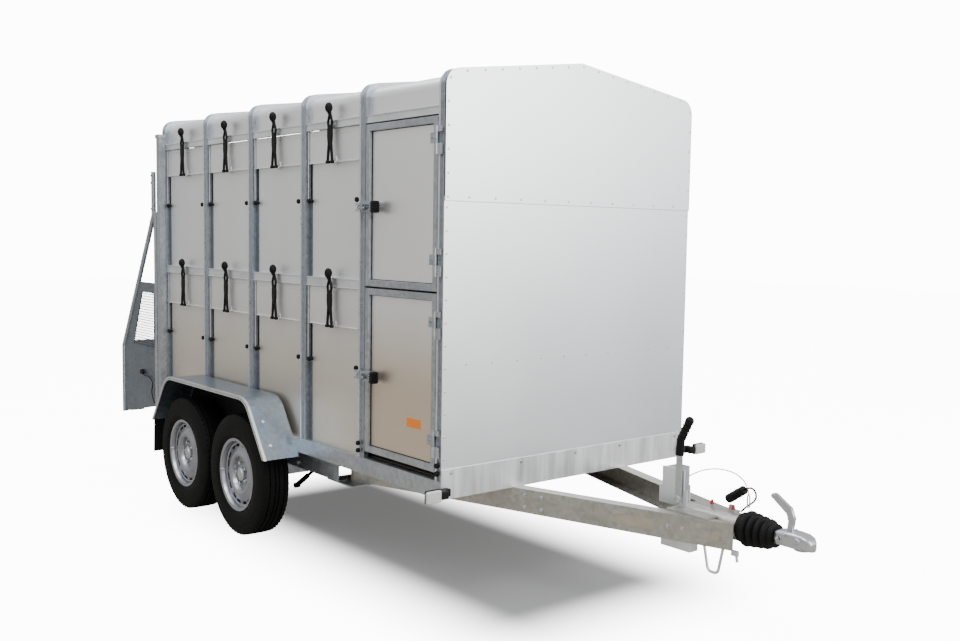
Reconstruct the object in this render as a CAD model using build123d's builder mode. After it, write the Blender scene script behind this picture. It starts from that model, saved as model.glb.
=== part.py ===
from build123d import *
import math
import os

os.makedirs("parts", exist_ok=True)

# Two-deck livestock trailer. X runs across, -Y points to the tow hitch, Z is up from the ground.
# Distances along the trailer are counted rearwards from the front panel.
front_y = -1124.0          # place of the front panel's outer face
half_width = 765.0         # outer faces of the posts and rails
post_depth = 25.0          # how far posts and rails stand out from the skin
skin = 3.0
skin_out = half_width - post_depth
skin_in = skin_out - skin
ridge_z = 2358.0
roof_pitch = math.radians(7.8)
eave_radius = 75.0
bow_foot_z = 2165.0
sill_low, sill_high = 480.0, 555.0
floor_low, floor_high = 540.0, 558.0
deck_rail = (1326.0, 1372.0)
top_rail = (2075.0, 2111.0)
rail_out = half_width - 3.0
post_width = 50.0
post_places = (615.0, 1150.0, 1712.0, 2272.0)
front_post = (4.0, 44.0)
rear_post = (2845.0, 2890.0)
side_doors = (48.0, 586.0)
sides = (-1, 1)            # -1 is the kerb side with the doors, +1 the off side

# Vent flaps, one over each opening, which slide down in guides onto two rubber stops.
flap_bottoms = {"lower": 1141.0, "upper": 1916.0}
flap_tops = {"lower": deck_rail[0] - 2, "upper": top_rail[0] - 2}
flap_travel = 165.0
stop_radius = 11.0
stop_drop = 178.0          # from a closed flap's bottom edge to the middle of its stops
guide_web, guide_lip = 6.0, 14.0
strap_height = 250.0

# Wheels and running gear.
tyre_radius, tyre_width = 318.0, 165.0
wheel_x = 858.0
wheel_places = {"front": 1554.0, "rear": 2219.0}
rim_radius = 178.0
stub_radius = 25.0
running_gap = 0.05

# Drawbar and overrun coupling.
beam_low, beam_high = 375.0, 480.0
beam_flange, beam_wall = 60.0, 4.0
beam_nose = (-960.0, 70.0)  # place and half width of the outer faces at the front
beam_slope = 0.31
beam_end = 890.0
shaft_z = 458.0
housing = (-950.0, -640.0)
housing_radius = 45.0
bellows_end = -1113.0
nose_end = -1272.0

# Rear gates, hung just behind the jambs.
gate_spans = {"lower": (566.0, 1294.0), "upper": (1380.0, 2102.0)}
gate_outer = 700.0
gate_hinge_x = 704.0
gate_hinges = {"lower": 2853.0, "upper": 2897.0}  # lower pair opens inwards, upper outwards

# Rear lift.
mast = (2845.0, 2891.0)
guard_x = 788.0            # middle plane of the side guards
guard_rear = 3505.0
platform_top = 520.0
ramp_hinge = (3488.0, 512.0)
lift_front = 2975.0
ram_x, ram_place = 738.0, 2955.0
barrel_radius, stage_radius, rod_radius = 29.0, 22.0, 14.0
barrel = (540.0, 1225.0)
stage_top, rod_top = 1420.0, 1640.0


def at(place):
    return front_y + place


def span(first, last):
    return at(first), at(last)


def block(x_span, y_span, z_span, mode=Mode.ADD):
    # a box between two limits along each axis
    spans = (x_span, y_span, z_span)
    with Locations(tuple((a + b) / 2 for a, b in spans)):
        Box(*(abs(b - a) for a, b in spans), mode=mode)


def rod(start, end, radius, mode=Mode.ADD):
    # a round bar between two points
    start, end = Vector(*start), Vector(*end)
    length = (end - start).length
    with Locations(Plane(origin=start, z_dir=end - start)):
        Cylinder(radius, length, align=(Align.CENTER, Align.CENTER, Align.MIN), mode=mode)


def save(piece, name):
    piece.part.label = name
    export_step(piece.part, f"parts/{name}.step")


def arch(inset, foot_z, mode=Mode.ADD):
    # the trailer's cross-section above foot_z: upright sides, rounded eaves, low gable
    half = half_width - inset
    ridge = ridge_z - inset / math.cos(roof_pitch)
    eave = ridge - half * math.tan(roof_pitch)
    with BuildLine() as outline:
        FilletPolyline(
            (-half, foot_z), (-half, eave), (0, ridge), (half, eave), (half, foot_z),
            radius=[eave_radius - inset, 60, eave_radius - inset],
        )
        Line((half, foot_z), (-half, foot_z))
    make_face(outline.edges(), mode=mode)


def hoop_spans():
    middle = [(p - post_width / 2, p + post_width / 2) for p in post_places]
    return [front_post] + middle + [rear_post]


def bays():
    # gaps between neighbouring posts, numbered from the rear; bay 5 holds the side doors
    hoops = hoop_spans()
    gaps = [(a[1], b[0]) for a, b in zip(hoops, hoops[1:])]
    return dict(zip((5, 4, 3, 2, 1), gaps))


vent_bays = {n: gap for n, gap in bays().items() if n < 5}

# Chassis: sills under the side walls, rails over the axles, cross members, gussets.
with BuildPart() as chassis_frame:
    for s in sides:
        block((s * 715, s * half_width), span(3.2, 2890), (sill_low, sill_high))
        block((s * 714, s * 760), span(3, 2891), (sill_low + 5, sill_high - 5), Mode.SUBTRACT)
        block((s * 655, s * 705), span(905, 2880), (beam_low, beam_high))
        block((s * 654, s * 701), span(904, 2881), (beam_low + 4, beam_high - 4), Mode.SUBTRACT)
        block((s * 560, s * 705), span(780, 1010), (beam_low - 6, beam_low))
    for place in (30, 600, 1150, 1712, 2272, 2850):
        block((-715, 715), span(place, place + 40), (beam_high, floor_low))
        block((-716, 716), span(place + 4, place + 41), (beam_high + 4, floor_low - 4), Mode.SUBTRACT)
save(chassis_frame, "chassis_frame")

# Drawbar: two channel beams with their open sides facing each other, notched for the overrun tube.
beam_turn = math.atan(beam_slope)
beam_way = Vector(-math.sin(beam_turn), math.cos(beam_turn), 0)
beam_in = Vector(math.cos(beam_turn), math.sin(beam_turn), 0)
beam_length = (beam_end - beam_nose[0]) / math.cos(beam_turn)
beam_start = Vector(-beam_nose[1], at(beam_nose[0]), beam_low)
with BuildPart() as drawbar_beams:
    with BuildSketch(Plane(origin=beam_start, x_dir=beam_in, z_dir=beam_way * -1)):
        with Locations((beam_flange / 2, (beam_high - beam_low) / 2)):
            Rectangle(beam_flange, beam_high - beam_low)
        with Locations((beam_flange / 2 + beam_wall, (beam_high - beam_low) / 2)):
            Rectangle(beam_flange, beam_high - beam_low - 2 * beam_wall, mode=Mode.SUBTRACT)
    extrude(amount=-beam_length)
    block((-62, 62), span(-990, -560), (beam_low - 5, 520), Mode.SUBTRACT)
    mirror(about=Plane.YZ)
save(drawbar_beams, "drawbar_beams")

# Floors of both decks.
deck_top = 1360.0
with BuildPart() as deck_boards:
    block((-714, 714), span(5, 2888), (floor_low, floor_high))
    block((-736, 736), span(5, 2835), (deck_top - 18, deck_top))
    for place in (300, 900, 1430, 1990, 2550):
        block((-736, 736), span(place, place + 40), (deck_top - 43, deck_top - 18))
save(deck_boards, "deck_boards")

# Upright posts outside the skin, each carried on over the roof as a bow.
with BuildPart() as posts_and_bows:
    for first, last in hoop_spans():
        for s in sides:
            block((s * skin_out, s * half_width), span(first, last), (sill_high, bow_foot_z - 0.2))
        with BuildSketch(Plane.XZ.offset(-at(first))):
            arch(0, bow_foot_z)
            arch(post_depth, bow_foot_z - 1, Mode.SUBTRACT)
        extrude(amount=-(last - first))
save(posts_and_bows, "posts_and_bows")

# Rails between the posts at the deck and above the upper vents.
with BuildPart() as side_rails:
    for number, (first, last) in bays().items():
        for s in sides:
            block((s * skin_out, s * rail_out), span(first, last), top_rail)
            if number < 5 or s > 0:
                block((s * skin_out, s * rail_out), span(first, last), deck_rail)
save(side_rails, "side_rails")

# Side skins below each vent opening; the off side has none of the doors, so its front bay is closed.
with BuildPart() as side_skins:
    for s in sides:
        wall = (s * skin_in, s * skin_out)
        for first, last in vent_bays.values():
            reach = span(first - post_width / 2 + 1, last + post_width / 2 - 1)
            if last > 2800:
                reach = span(first - post_width / 2 + 1, 2889)
            block(wall, reach, (sill_high, flap_bottoms["lower"] + 14))
            block(wall, reach, (deck_rail[1], flap_bottoms["upper"] + 14))
        if s > 0:
            block(wall, span(5, 614), (sill_high, deck_rail[0]))
            block(wall, span(5, 614), (deck_rail[1], top_rail[0]))
save(side_skins, "side_skins")

with BuildPart() as roof_skin:
    with BuildSketch(Plane.XZ.offset(-at(5))):
        arch(post_depth, top_rail[1])
        arch(post_depth + skin, top_rail[1] - 1, Mode.SUBTRACT)
    extrude(amount=-2884)
save(roof_skin, "roof_skin")

# Front wall: a lower and an upper sheet that laps over it, and a thick galvanised strip at the foot.
seam_z = 1722.0
strip_top = 608.0
with BuildPart() as front_panels:
    with BuildSketch(Plane.XZ.offset(-at(0))):
        arch(0, sill_low + 10)
        with Locations((0, seam_z + 20 + 500)):
            Rectangle(2 * half_width + 10, 1000, mode=Mode.SUBTRACT)
    extrude(amount=-3)
    with BuildSketch(Plane.XZ.offset(-at(-3.2))):
        arch(0, seam_z)
    extrude(amount=-3)
    block((-half_width, half_width), span(-4, -0.2), (sill_low, strip_top))
save(front_panels, "front_panels")

# Rear frame: jambs and the bars over, between and under the two rear openings.
with BuildPart() as rear_frame:
    for s in sides:
        block((s * 720, s * 736), span(2838, 2890), (sill_high + 4, 2150))
    block((-719.8, 719.8), span(2838, 2890), (deck_top - 60, deck_top + 12))
    block((-719.8, 719.8), span(2838, 2890), (2110, 2150))
    for row, (low, high) in gate_spans.items():
        hinge_y = at(gate_hinges[row])
        for s in sides:
            hinge_side = s * gate_hinge_x
            for z in (low + 100, high - 100):
                for foot, head in ((z - 30, z - 0.5), (z + 30.5, z + 60)):
                    rod((hinge_side, hinge_y, foot), (hinge_side, hinge_y, head), 7)
                    if row == "upper":
                        block((hinge_side, s * 735), (at(2890), hinge_y + 5), (foot, head))
                    else:
                        block((hinge_side, s * 725), (hinge_y - 5, hinge_y + 5), (foot, head))
                rod((hinge_side, hinge_y, z - 10), (hinge_side, hinge_y, z + 40), 3.5)
save(rear_frame, "rear_frame")


def guide(side, edge, inward, z_span):
    # an angle strip whose lip keeps one edge of a flap against the skin
    block((side * skin_out, side * 756), (at(edge), at(edge) + inward * guide_web), z_span)
    block((side * 752, side * 756), (at(edge), at(edge) + inward * guide_lip), z_span)


with BuildPart() as flap_guides:
    for s in sides:
        for first, last in vent_bays.values():
            for row in ("lower", "upper"):
                rail_low = flap_tops[row] + 2
                foot = flap_bottoms[row] - stop_drop - 10
                guide(s, first, 1, (foot, rail_low))
                guide(s, last, -1, (foot, rail_low))
save(flap_guides, "flap_guides")

# Rubber stops under the flaps, and the round buffers beside the side doors.
with BuildPart() as rubber_stops:
    for s in sides:
        for first, last in vent_bays.values():
            for row in ("lower", "upper"):
                z = flap_bottoms[row] - stop_drop
                for place in (first + 28, last - 28):
                    rod((s * skin_out, at(place), z), (s * 764, at(place), z), stop_radius)
    for place, z in ((640 - 12, 586), (640 - 12, 620), (24, 588), (24, 622)):
        rod((-half_width, at(place), z), (-half_width - 14, at(place), z), 12)
save(rubber_stops, "rubber_stops")


def vent_flap(side, first, last, row):
    # a sliding plate with a stiffening lip, and the rubber strap that holds it shut
    low, high = flap_bottoms[row], flap_tops[row]
    edge = guide_web + 2
    middle = (first + last) / 2
    block((side * 743, side * 749), span(first + edge, last - edge), (low, high))
    block((side * 748, side * 758), span(first + 20, last - 20), (low, low + 4))
    block((side * 748, side * 769), span(middle - 24, middle + 24), (low - 6, low + 14))
    with BuildSketch(Plane(origin=(side * 768, at(middle), low), x_dir=(0, 1, 0), z_dir=(1, 0, 0))) as strap:
        with BuildLine():
            Polyline(
                (-20, -4), (-9, -4), (-4, 84), (4, 84), (9, -4), (20, -4), (15, 90), (19, 130),
                (17, 168), (12, 200), (6, 222), (6, 240), (-6, 240), (-6, 222), (-12, 200),
                (-17, 168), (-19, 130), (-15, 90), close=True,
            )
        make_face()
        with Locations((0, 158)):
            SlotOverall(56, 14, rotation=90, mode=Mode.SUBTRACT)
    extrude(strap.sketch, amount=side * 10)
    grip_z = low + strap_height
    rod((side * 765, at(middle), grip_z), (side * 793, at(middle), grip_z), 15)


for s in sides:
    for number, (first, last) in vent_bays.items():
        for row in ("lower", "upper"):
            with BuildPart() as flap:
                vent_flap(s, first, last, row)
            save(flap, f"flap_{'right' if s < 0 else 'left'}_{row}_{number}")

# Side doors: two leaves in angle frames, hinged on the front post.
leaf_spans = {"lower": (588.0, 1339.0), "upper": (1347.0, 2069.0)}
hinge_heights = {"lower": (700.0, 1197.0), "upper": (1456.0, 1956.0)}
latch_heights = {"lower": 941.0, "upper": 1702.0}
hinge_x, hinge_place = half_width + 10.0, 46.0
for row, (low, high) in leaf_spans.items():
    with BuildPart() as leaf:
        block((-742, -half_width), span(*side_doors), (low, high))
        window = span(side_doors[0] + 30, side_doors[1] - 30)
        block((-700, -800), window, (low + 30, high - 30), Mode.SUBTRACT)
        block((-745, -749), span(side_doors[0] + 20, side_doors[1] - 20), (low + 20, high - 20))
        for z in hinge_heights[row]:
            rod((-hinge_x, at(hinge_place), z + 1), (-hinge_x, at(hinge_place), z + 45), 8)
            rod((-hinge_x, at(hinge_place), z), (-hinge_x, at(hinge_place), z + 50), 4.05, Mode.SUBTRACT)
            block((-half_width + 1, -half_width - 5), span(53, 95), (z + 1, z + 45))
            block((-half_width, -hinge_x + 4), span(49, 56), (z + 1, z + 45))
            rod((-hinge_x, at(hinge_place), z), (-hinge_x, at(hinge_place), z + 50), 4.05, Mode.SUBTRACT)
        z = latch_heights[row]
        block((-half_width + 1, -half_width - 26), span(505, 585), (z - 22, z + 22))
        rod((-half_width - 15, at(500), z), (-half_width - 15, at(590), z), 7.05, Mode.SUBTRACT)
        block((-half_width - 14, -half_width - 30), span(519, 569), (z - 7.1, z + 7.1), Mode.SUBTRACT)
    save(leaf, f"side_door_{row}")
    with BuildPart() as latch:
        rod((-half_width - 15, at(476), z), (-half_width - 15, at(624), z), 7)
        rod((-half_width - 15, at(562), z), (-half_width - 44, at(562), z), 6)
        rod((-half_width - 42, at(562), z - 34), (-half_width - 42, at(562), z + 34), 11)
    save(latch, f"door_latch_{row}")

# Fixed hinge halves with their pins, and the cradles that the latch bolts lie in.
with BuildPart() as door_hinges:
    for row, heights in hinge_heights.items():
        for z in heights:
            for low, high in ((z - 46, z), (z + 46, z + 70)):
                rod((-hinge_x, at(hinge_place), low), (-hinge_x, at(hinge_place), high), 8)
                block((-half_width, -hinge_x + 3), span(12, 47), (low, high))
            rod((-hinge_x, at(hinge_place), z - 10), (-hinge_x, at(hinge_place), z + 60), 4)
        z = latch_heights[row]
        block((-half_width, -half_width - 7.9), span(594, 636), (z - 20, z + 20))
        for wall in (z - 20, z + 8):
            block((-half_width, -half_width - 24), span(594, 636), (wall, wall + 12))
save(door_hinges, "door_hinges")

# Mudguards over each pair of wheels, with a doubled outer rim, and rubber flaps behind.
guard_out, guard_top, guard_foot = 965.0, 745.0, 460.0
guard_ends = (1180.0, 2593.0)
guard_tops = (1385.0, 2388.0)


def side_plane(x):
    # sketch plane across the trailer: x rearwards from the front panel, y up
    return Plane(origin=(x, front_y, 0), x_dir=(0, 1, 0), z_dir=(1, 0, 0))


def mudguard_band(side, x_span, outer, inner):
    # a strip of sheet between two parallel outlines, sloping at both ends
    with BuildSketch(side_plane(side * x_span[0])) as band:
        for inset, mode in ((outer, Mode.ADD), (inner, Mode.SUBTRACT)):
            slope, top = inset * 1.23, inset * 0.53
            foot = guard_foot if inset <= 0 or mode == Mode.ADD else guard_foot - 1
            with BuildLine():
                FilletPolyline(
                    (guard_ends[0] + slope, foot), (guard_tops[0] + top, guard_top - inset),
                    (guard_tops[1] - top, guard_top - inset), (guard_ends[1] - slope, foot),
                    radius=95 - inset,
                )
                Line((guard_ends[1] - slope, foot), (guard_ends[0] + slope, foot))
            make_face(mode=mode)
    extrude(band.sketch, amount=side * (x_span[1] - x_span[0]))


with BuildPart() as mudguards:
    for s in sides:
        mudguard_band(s, (half_width + 0.5, guard_out), 0, 3)
        mudguard_band(s, (guard_out - 14, guard_out), -3, 14)
        with BuildSketch(side_plane(s * 780)):
            with BuildLine():
                Polyline(
                    (2574, 500), (2580, 500), (2612, 450), (2622, 262), (2616, 262), (2606, 448), close=True,
                )
            make_face()
        extrude(amount=s * 165)
save(mudguards, "mudguards")

# Axles: square tubes under the rails, with trailing arms, stubs and brake back plates.
with BuildPart() as axles:
    for place in wheel_places.values():
        block((-706, 706), span(place - 140, place - 80), (beam_low - 60, beam_low))
        for s in sides:
            block((s * 706, s * 730), span(place - 145, place + 45), (282, 372))
            rod((s * 728, at(place), tyre_radius), (s * 874, at(place), tyre_radius), stub_radius)
            rod((s * 729, at(place), tyre_radius), (s * 770, at(place), tyre_radius), 100)
save(axles, "axles")


def on_wheel(side, place):
    # sketch plane through the wheel's axis: x outward along it, y up from it
    return Plane(origin=(side * wheel_x, at(place), tyre_radius), x_dir=(side, 0, 0), z_dir=(0, -side, 0))


def wheel_spot(side, place, out):
    return Plane(origin=(side * (wheel_x + out), at(place), tyre_radius), z_dir=(side, 0, 0))


for s in sides:
    for row, place in wheel_places.items():
        axis = Axis((0, at(place), tyre_radius), (1, 0, 0))
        side_name = "right" if s < 0 else "left"
        # tyre, then the rim barrel with flanges, dished disc with a raised ring, hub, cap and brake drum
        with BuildPart() as wheel:
            with BuildSketch(on_wheel(s, place)):
                with BuildLine():
                    ThreePointArc((-60, 180), (-tyre_width / 2, 250), (-70, 303))
                    ThreePointArc((-70, 303), (-66, 312), (-56, tyre_radius))
                    Line((-56, tyre_radius), (56, tyre_radius))
                    ThreePointArc((56, tyre_radius), (66, 312), (70, 303))
                    ThreePointArc((70, 303), (tyre_width / 2, 250), (60, 180))
                    Line((60, 180), (-60, 180))
                make_face()
            revolve(axis=axis)
            with BuildSketch(on_wheel(s, place)):
                with BuildLine():
                    Polyline(
                        (-71, 190), (-68, 190), (-68, 178), (68, 178), (68, 190), (71, 190), (71, 172),
                        (42, 170), (52, 112), (57, 106), (57, 98), (52, 92), (31, 84), (31, 34), (48, 34),
                        (50, 26), (50, 0), (20, 0), (20, stub_radius + running_gap),
                        (-48, stub_radius + running_gap), (-48, 34), (-50, 112), (-78, 112),
                        (-78, 116), (-40, 116), (-38, 34), (24, 34), (24, 88), (46, 96), (46, 110),
                        (34, 168), (-71, 172), close=True,
                    )
                make_face()
            revolve(axis=axis)
            with Locations(wheel_spot(s, place, 26)):
                with PolarLocations(56, 5):
                    Cylinder(10, 22, align=(Align.CENTER, Align.CENTER, Align.MIN))
            with Locations(wheel_spot(s, place, 20)):
                with PolarLocations(143, 16):
                    Cylinder(7, 60, align=(Align.CENTER, Align.CENTER, Align.MIN), mode=Mode.SUBTRACT)
        save(wheel, f"wheel_{side_name}_{row}")

# Overrun housing: a tube between the drawbar beams under a welded top plate.
with BuildPart() as overrun_housing:
    rod((0, at(housing[0]), shaft_z), (0, at(housing[1]), shaft_z), housing_radius)
    block((-108, 108), span(-860, -655), (beam_high + 0.2, beam_high + 7))
    rod((0, at(housing[0] - 5), shaft_z), (0, at(housing[1] + 5), shaft_z), 25.06, Mode.SUBTRACT)
    for place in (-800, -905):
        rod((0, at(place), shaft_z + 40), (0, at(place), shaft_z + 62), 5)
    rod((0, at(-800), shaft_z), (0, at(-800), shaft_z + 30), 24, Mode.SUBTRACT)
    rod((0, at(-905), shaft_z), (0, at(-905), shaft_z + 30), 24, Mode.SUBTRACT)
    # holder of the parked plug
    block((27, 41), span(-880, -862), (shaft_z + 38, shaft_z + 66))
save(overrun_housing, "overrun_housing")

# Coupling head on its sliding shaft, with the ball socket underneath.
with BuildPart() as coupling_head:
    rod((0, at(-1150), shaft_z), (0, at(-652), shaft_z), 25)
    with BuildSketch(Plane.XY.offset(shaft_z - 24)):
        with BuildLine():
            Polyline(
                (-40, at(-1120)), (-40, at(-1195)), (-34, at(-1258)), (-22, at(nose_end)), (22, at(nose_end)),
                (34, at(-1258)), (40, at(-1195)), (40, at(-1120)), close=True,
            )
        make_face()
    extrude(amount=62)
    with Locations((0, at(-1222), shaft_z - 24)):
        Cylinder(25, 34, align=(Align.CENTER, Align.CENTER, Align.MIN), mode=Mode.SUBTRACT)
    block((-10, 10), span(-1203, -1140), (shaft_z + 12, shaft_z + 100), Mode.SUBTRACT)
    rod((-50, at(-1166), shaft_z + 26), (50, at(-1166), shaft_z + 26), 5)
    rod((-46, at(-1135), shaft_z), (46, at(-1135), shaft_z), 15)
save(coupling_head, "coupling_head")

with BuildPart() as coupling_handle:
    with BuildSketch(Plane.YZ.offset(-8)):
        with BuildLine():
            Polyline(
                (at(-1178), shaft_z + 22), (at(-1154), shaft_z + 22), (at(-1160), shaft_z + 70),
                (at(-1152), shaft_z + 96), (at(-1090), shaft_z + 142), (at(-1084), shaft_z + 162),
                (at(-1102), shaft_z + 166), (at(-1172), shaft_z + 122), (at(-1188), shaft_z + 84), close=True,
            )
        make_face()
        with Locations((at(-1166), shaft_z + 26)):
            Circle(5.05, mode=Mode.SUBTRACT)
    extrude(amount=16)
save(coupling_handle, "coupling_handle")

# Rubber bellows over the shaft, four bulges between its end collars.
with BuildPart() as bellows:
    with BuildSketch(Plane.YZ):
        with BuildLine():
            Line((at(-952), shaft_z + 40), (at(-952), shaft_z + 58))
            Line((at(-952), shaft_z + 58), (at(-972), shaft_z + 58))
            for fold in range(4):
                start = -972 - fold * 30
                ThreePointArc(
                    (at(start), shaft_z + 58 - fold * 3), (at(start - 15), shaft_z + 72 - fold * 4),
                    (at(start - 30), shaft_z + 55 - fold * 3),
                )
            Line((at(-1092), shaft_z + 46), (at(bellows_end), shaft_z + 44))
            Line((at(bellows_end), shaft_z + 44), (at(bellows_end), shaft_z + 26))
            Line((at(bellows_end), shaft_z + 26), (at(-1092), shaft_z + 30))
            Line((at(-1092), shaft_z + 30), (at(-952), shaft_z + 40))
        make_face()
    revolve(axis=Axis((0, 0, shaft_z), (0, 1, 0)))
save(bellows, "bellows")

# Handbrake: bracket plates on the housing's top plate, flat lever with a bent grip.
lever_x, lever_pivot = -52.0, (-668.0, 512.0)
with BuildPart() as drawbar_fittings:
    block((-44, -38), span(-705, -560), (beam_high + 7.2, 560))
    block((-44, -38), span(-690, -575), (560, 640))
    block((36, 42), span(-655, -560), (beam_high + 7.2, 560))
    block((36, 42), span(-648, -600), (560, 640))
    block((-38, 36), span(-580, -574), (beam_high + 7.2, 636))
    block((-44, 42), span(-638, -560), (beam_high + 7.2, beam_high + 12))
    rod((-64, at(lever_pivot[0]), lever_pivot[1]), (-40, at(lever_pivot[0]), lever_pivot[1]), 8)
    # support loop, hook and brake rod bracket under the beams
    with BuildLine(Plane.YZ.offset(-56)) as loop:
        FilletPolyline(
            (at(-809), beam_low - 0.5), (at(-834), 262), (at(-882), 262), (at(-905), beam_low - 0.5), radius=22,
        )
    with BuildSketch(Plane(origin=loop.line @ 0, z_dir=loop.line % 0)):
        Circle(6)
    sweep(path=loop.wire())
    block((-120, -70), span(-790, -640), (beam_low - 40, beam_low - 0.5))
    block((-60, -48), span(-975, -945), (beam_low - 22, beam_low - 0.5))
    rod((-54, at(-966), beam_low - 15), (-54, at(-972), beam_low - 44), 6)
save(drawbar_fittings, "drawbar_fittings")

with BuildPart() as brake_lever:
    block((lever_x - 5, lever_x + 5), span(-684, -654), (500, 716))
    pivot_y, pivot_z = at(lever_pivot[0]), lever_pivot[1]
    rod((-70, pivot_y, pivot_z), (-30, pivot_y, pivot_z), 8.05, Mode.SUBTRACT)
    rod((lever_x, at(-669), 704), (lever_x, at(-673), 765), 19)
    rod((lever_x, at(-673), 765), (lever_x, at(-716), 850), 18)
    with Locations((lever_x, at(-673), 765), (lever_x, at(-716), 850)):
        Sphere(18)
save(brake_lever, "brake_lever")

# Front marker lamps on rubber arms.
with BuildPart() as marker_lamps:
    for s in sides:
        block((s * (half_width + 0.5), s * 808), span(-62, -34), (498, 534))
        block((s * 804, s * 884), span(-66, -36), (488, 546))
        block((s * (half_width - 30), s * 806), span(-34, -4.4), (498, 534))
save(marker_lamps, "marker_lamps")

# Plug of the lighting lead, parked in its holder on top of the overrun housing.
plug_rear, plug_front = Vector(34, at(-852), 543), Vector(34, at(-930), 597)
with BuildPart() as parked_plug:
    rod(plug_rear, plug_front, 19)
save(parked_plug, "parked_plug")

# Free cords: straight runs joined by arcs as large as the runs allow.
def corner_radii(points):
    radii = []
    for before, corner, after in zip(points, points[1:], points[2:]):
        first, second = Vector(*corner) - Vector(*before), Vector(*after) - Vector(*corner)
        turn = math.radians(first.get_angle(second))
        radii.append(0.45 * min(first.length, second.length) / math.tan(turn / 2))
    return radii


plug_lead_route = [
    (34, at(-931), 598), (34, at(-956), 613), (33, at(-982), 602), (31, at(-990), 574),
    (29, at(-971), 551), (26, at(-946), 533), (22, at(-926), 510),
]
breakaway_route = [
    (39, at(-651), 600), (32, at(-702), 629), (24, at(-760), 650), (14, at(-825), 664),
    (5, at(-890), 665), (-2, at(-940), 652), (-6, at(-968), 630), (-8, at(-981), 598),
]
lift_cable_route = [
    (-802, at(3140), 664), (-802, at(3114), 652), (-801, at(3080), 655), (-800, at(3040), 650),
    (-800, at(3002), 634), (-800, at(2984), 612), (-800, at(3000), 588), (-800, at(3008), 562),
    (-800, at(2998), 536), (-800, at(2980), 514), (-798, at(2970), 492),
]
cords = {
    "plug_lead": (plug_lead_route, 8),
    "breakaway_cable": (breakaway_route, 5),
    "lift_cable": (lift_cable_route, 7),
}
for name, (points, diameter) in cords.items():
    radii = corner_radii(points)
    print(name, "radii", [round(r) for r in radii])
    with BuildPart() as cord:
        with BuildLine() as route:
            FilletPolyline(*points, radius=radii)
        with BuildSketch(Plane(origin=route.line @ 0, z_dir=route.line % 0)):
            Circle(diameter / 2)
        sweep(path=route.wire())
    length = route.wire().length
    print(name, "length", round(length), "volume over section times length",
          round(cord.part.volume / (math.pi * diameter ** 2 / 4 * length), 4))
    save(cord, name)

# Snap hook on the breakaway cable, and the plug that joins the lift's lighting cable to its socket.
with BuildPart() as breakaway_hook:
    rod((-8, at(-981.5), 597), (-8, at(-981.5), 588), 4)
    with BuildSketch(Plane.YZ.offset(-11)):
        with Locations((at(-981.5), 566)):
            SlotOverall(50, 14, rotation=90)
            SlotOverall(42, 7, rotation=90, mode=Mode.SUBTRACT)
    extrude(amount=5)
save(breakaway_hook, "breakaway_hook")

with BuildPart() as lift_plug:
    rod((-802, at(3140), 664), (-802, at(3156), 671), 9)
    rod((-790.2, at(3164), 674), (-811, at(3164), 674), 15)
save(lift_plug, "lift_plug")

# Rear lift: masts on the rear corners, telescopic rams beside them.
with BuildPart() as lift_masts:
    for s in sides:
        block((s * (half_width + 0.5), s * 803), span(*mast), (430, 2165))
        block((s * 776, s * 794), span(mast[0] + 8, mast[1] + 1), (429, 2155), Mode.SUBTRACT)
        block((s * 765.5, s * 810), span(mast[0] - 6, mast[1]), (2150, 2172))
        block((s * 737, s * 775), span(2891, 2899), (760, 820))
        rod((s * ram_x, at(ram_place), barrel[0]), (s * ram_x, at(ram_place), barrel[1]), barrel_radius)
        bore_foot, bore_mouth = (s * ram_x, at(ram_place), barrel[0] + 12), (s * ram_x, at(ram_place), 1300)
        rod(bore_foot, bore_mouth, stage_radius + running_gap, Mode.SUBTRACT)
        block((s * 737, s * 750), span(2899, ram_place - 27), (764, 816))
save(lift_masts, "lift_masts")

with BuildPart() as ram_stages:
    for s in sides:
        rod((s * ram_x, at(ram_place), 745), (s * ram_x, at(ram_place), stage_top), stage_radius)
        rod((s * ram_x, at(ram_place), stage_top - 12), (s * ram_x, at(ram_place), stage_top), 27)
        rod((s * ram_x, at(ram_place), 757), (s * ram_x, at(ram_place), 1500), 14.05, Mode.SUBTRACT)
save(ram_stages, "ram_stages")

# Lift carriage: side guards in tube frames with a window for the mesh, and the ram rods' heads.
slope_top = (lift_front, 1680.0)
slope_low = (guard_rear, 815.0)


def guard_frame(side):
    for (a, b), (c, d) in (
        ((lift_front, 1950), slope_top), (slope_top, slope_low), (slope_low, (guard_rear, 368)),
        ((lift_front - 35, 480), (lift_front - 35, 1700)),
    ):
        rod((side * guard_x, at(a), b), (side * guard_x, at(c), d), 15)
    with Locations(*((side * guard_x, at(a), b) for a, b in (slope_top, slope_low))):
        Sphere(15)


with BuildPart() as lift_guards:
    for s in sides:
        with BuildSketch(side_plane(s * (guard_x - 2))):
            with BuildLine():
                Polyline(
                    (lift_front - 40, 478), (guard_rear, 368), (guard_rear, 815),
                    (3240, 1255), (lift_front - 40, 1255), close=True,
                )
            make_face()
            with BuildLine():
                Polyline((2975, 840), (3330, 840), (3170, 1192), (2975, 1192), close=True)
            make_face(mode=Mode.SUBTRACT)
        extrude(amount=s * 4)
        guard_frame(s)
        for z in (500, 1100):
            block((s * 779, s * 791), span(2873, 2935), (z, z + 60))
        block((s * 736, s * 790), span(2934, 2978), (rod_top, rod_top + 30))
        rod((s * ram_x, at(ram_place), 945), (s * ram_x, at(ram_place), rod_top + 5), rod_radius)
        with BuildSketch(side_plane(s * (guard_x - 5))):
            with BuildLine():
                Polyline((2965, 830), (3342, 830), (3176, 1202), (2965, 1202), close=True)
            make_face()
        extrude(amount=s * 2.5)
save(lift_guards, "lift_guards")

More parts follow.
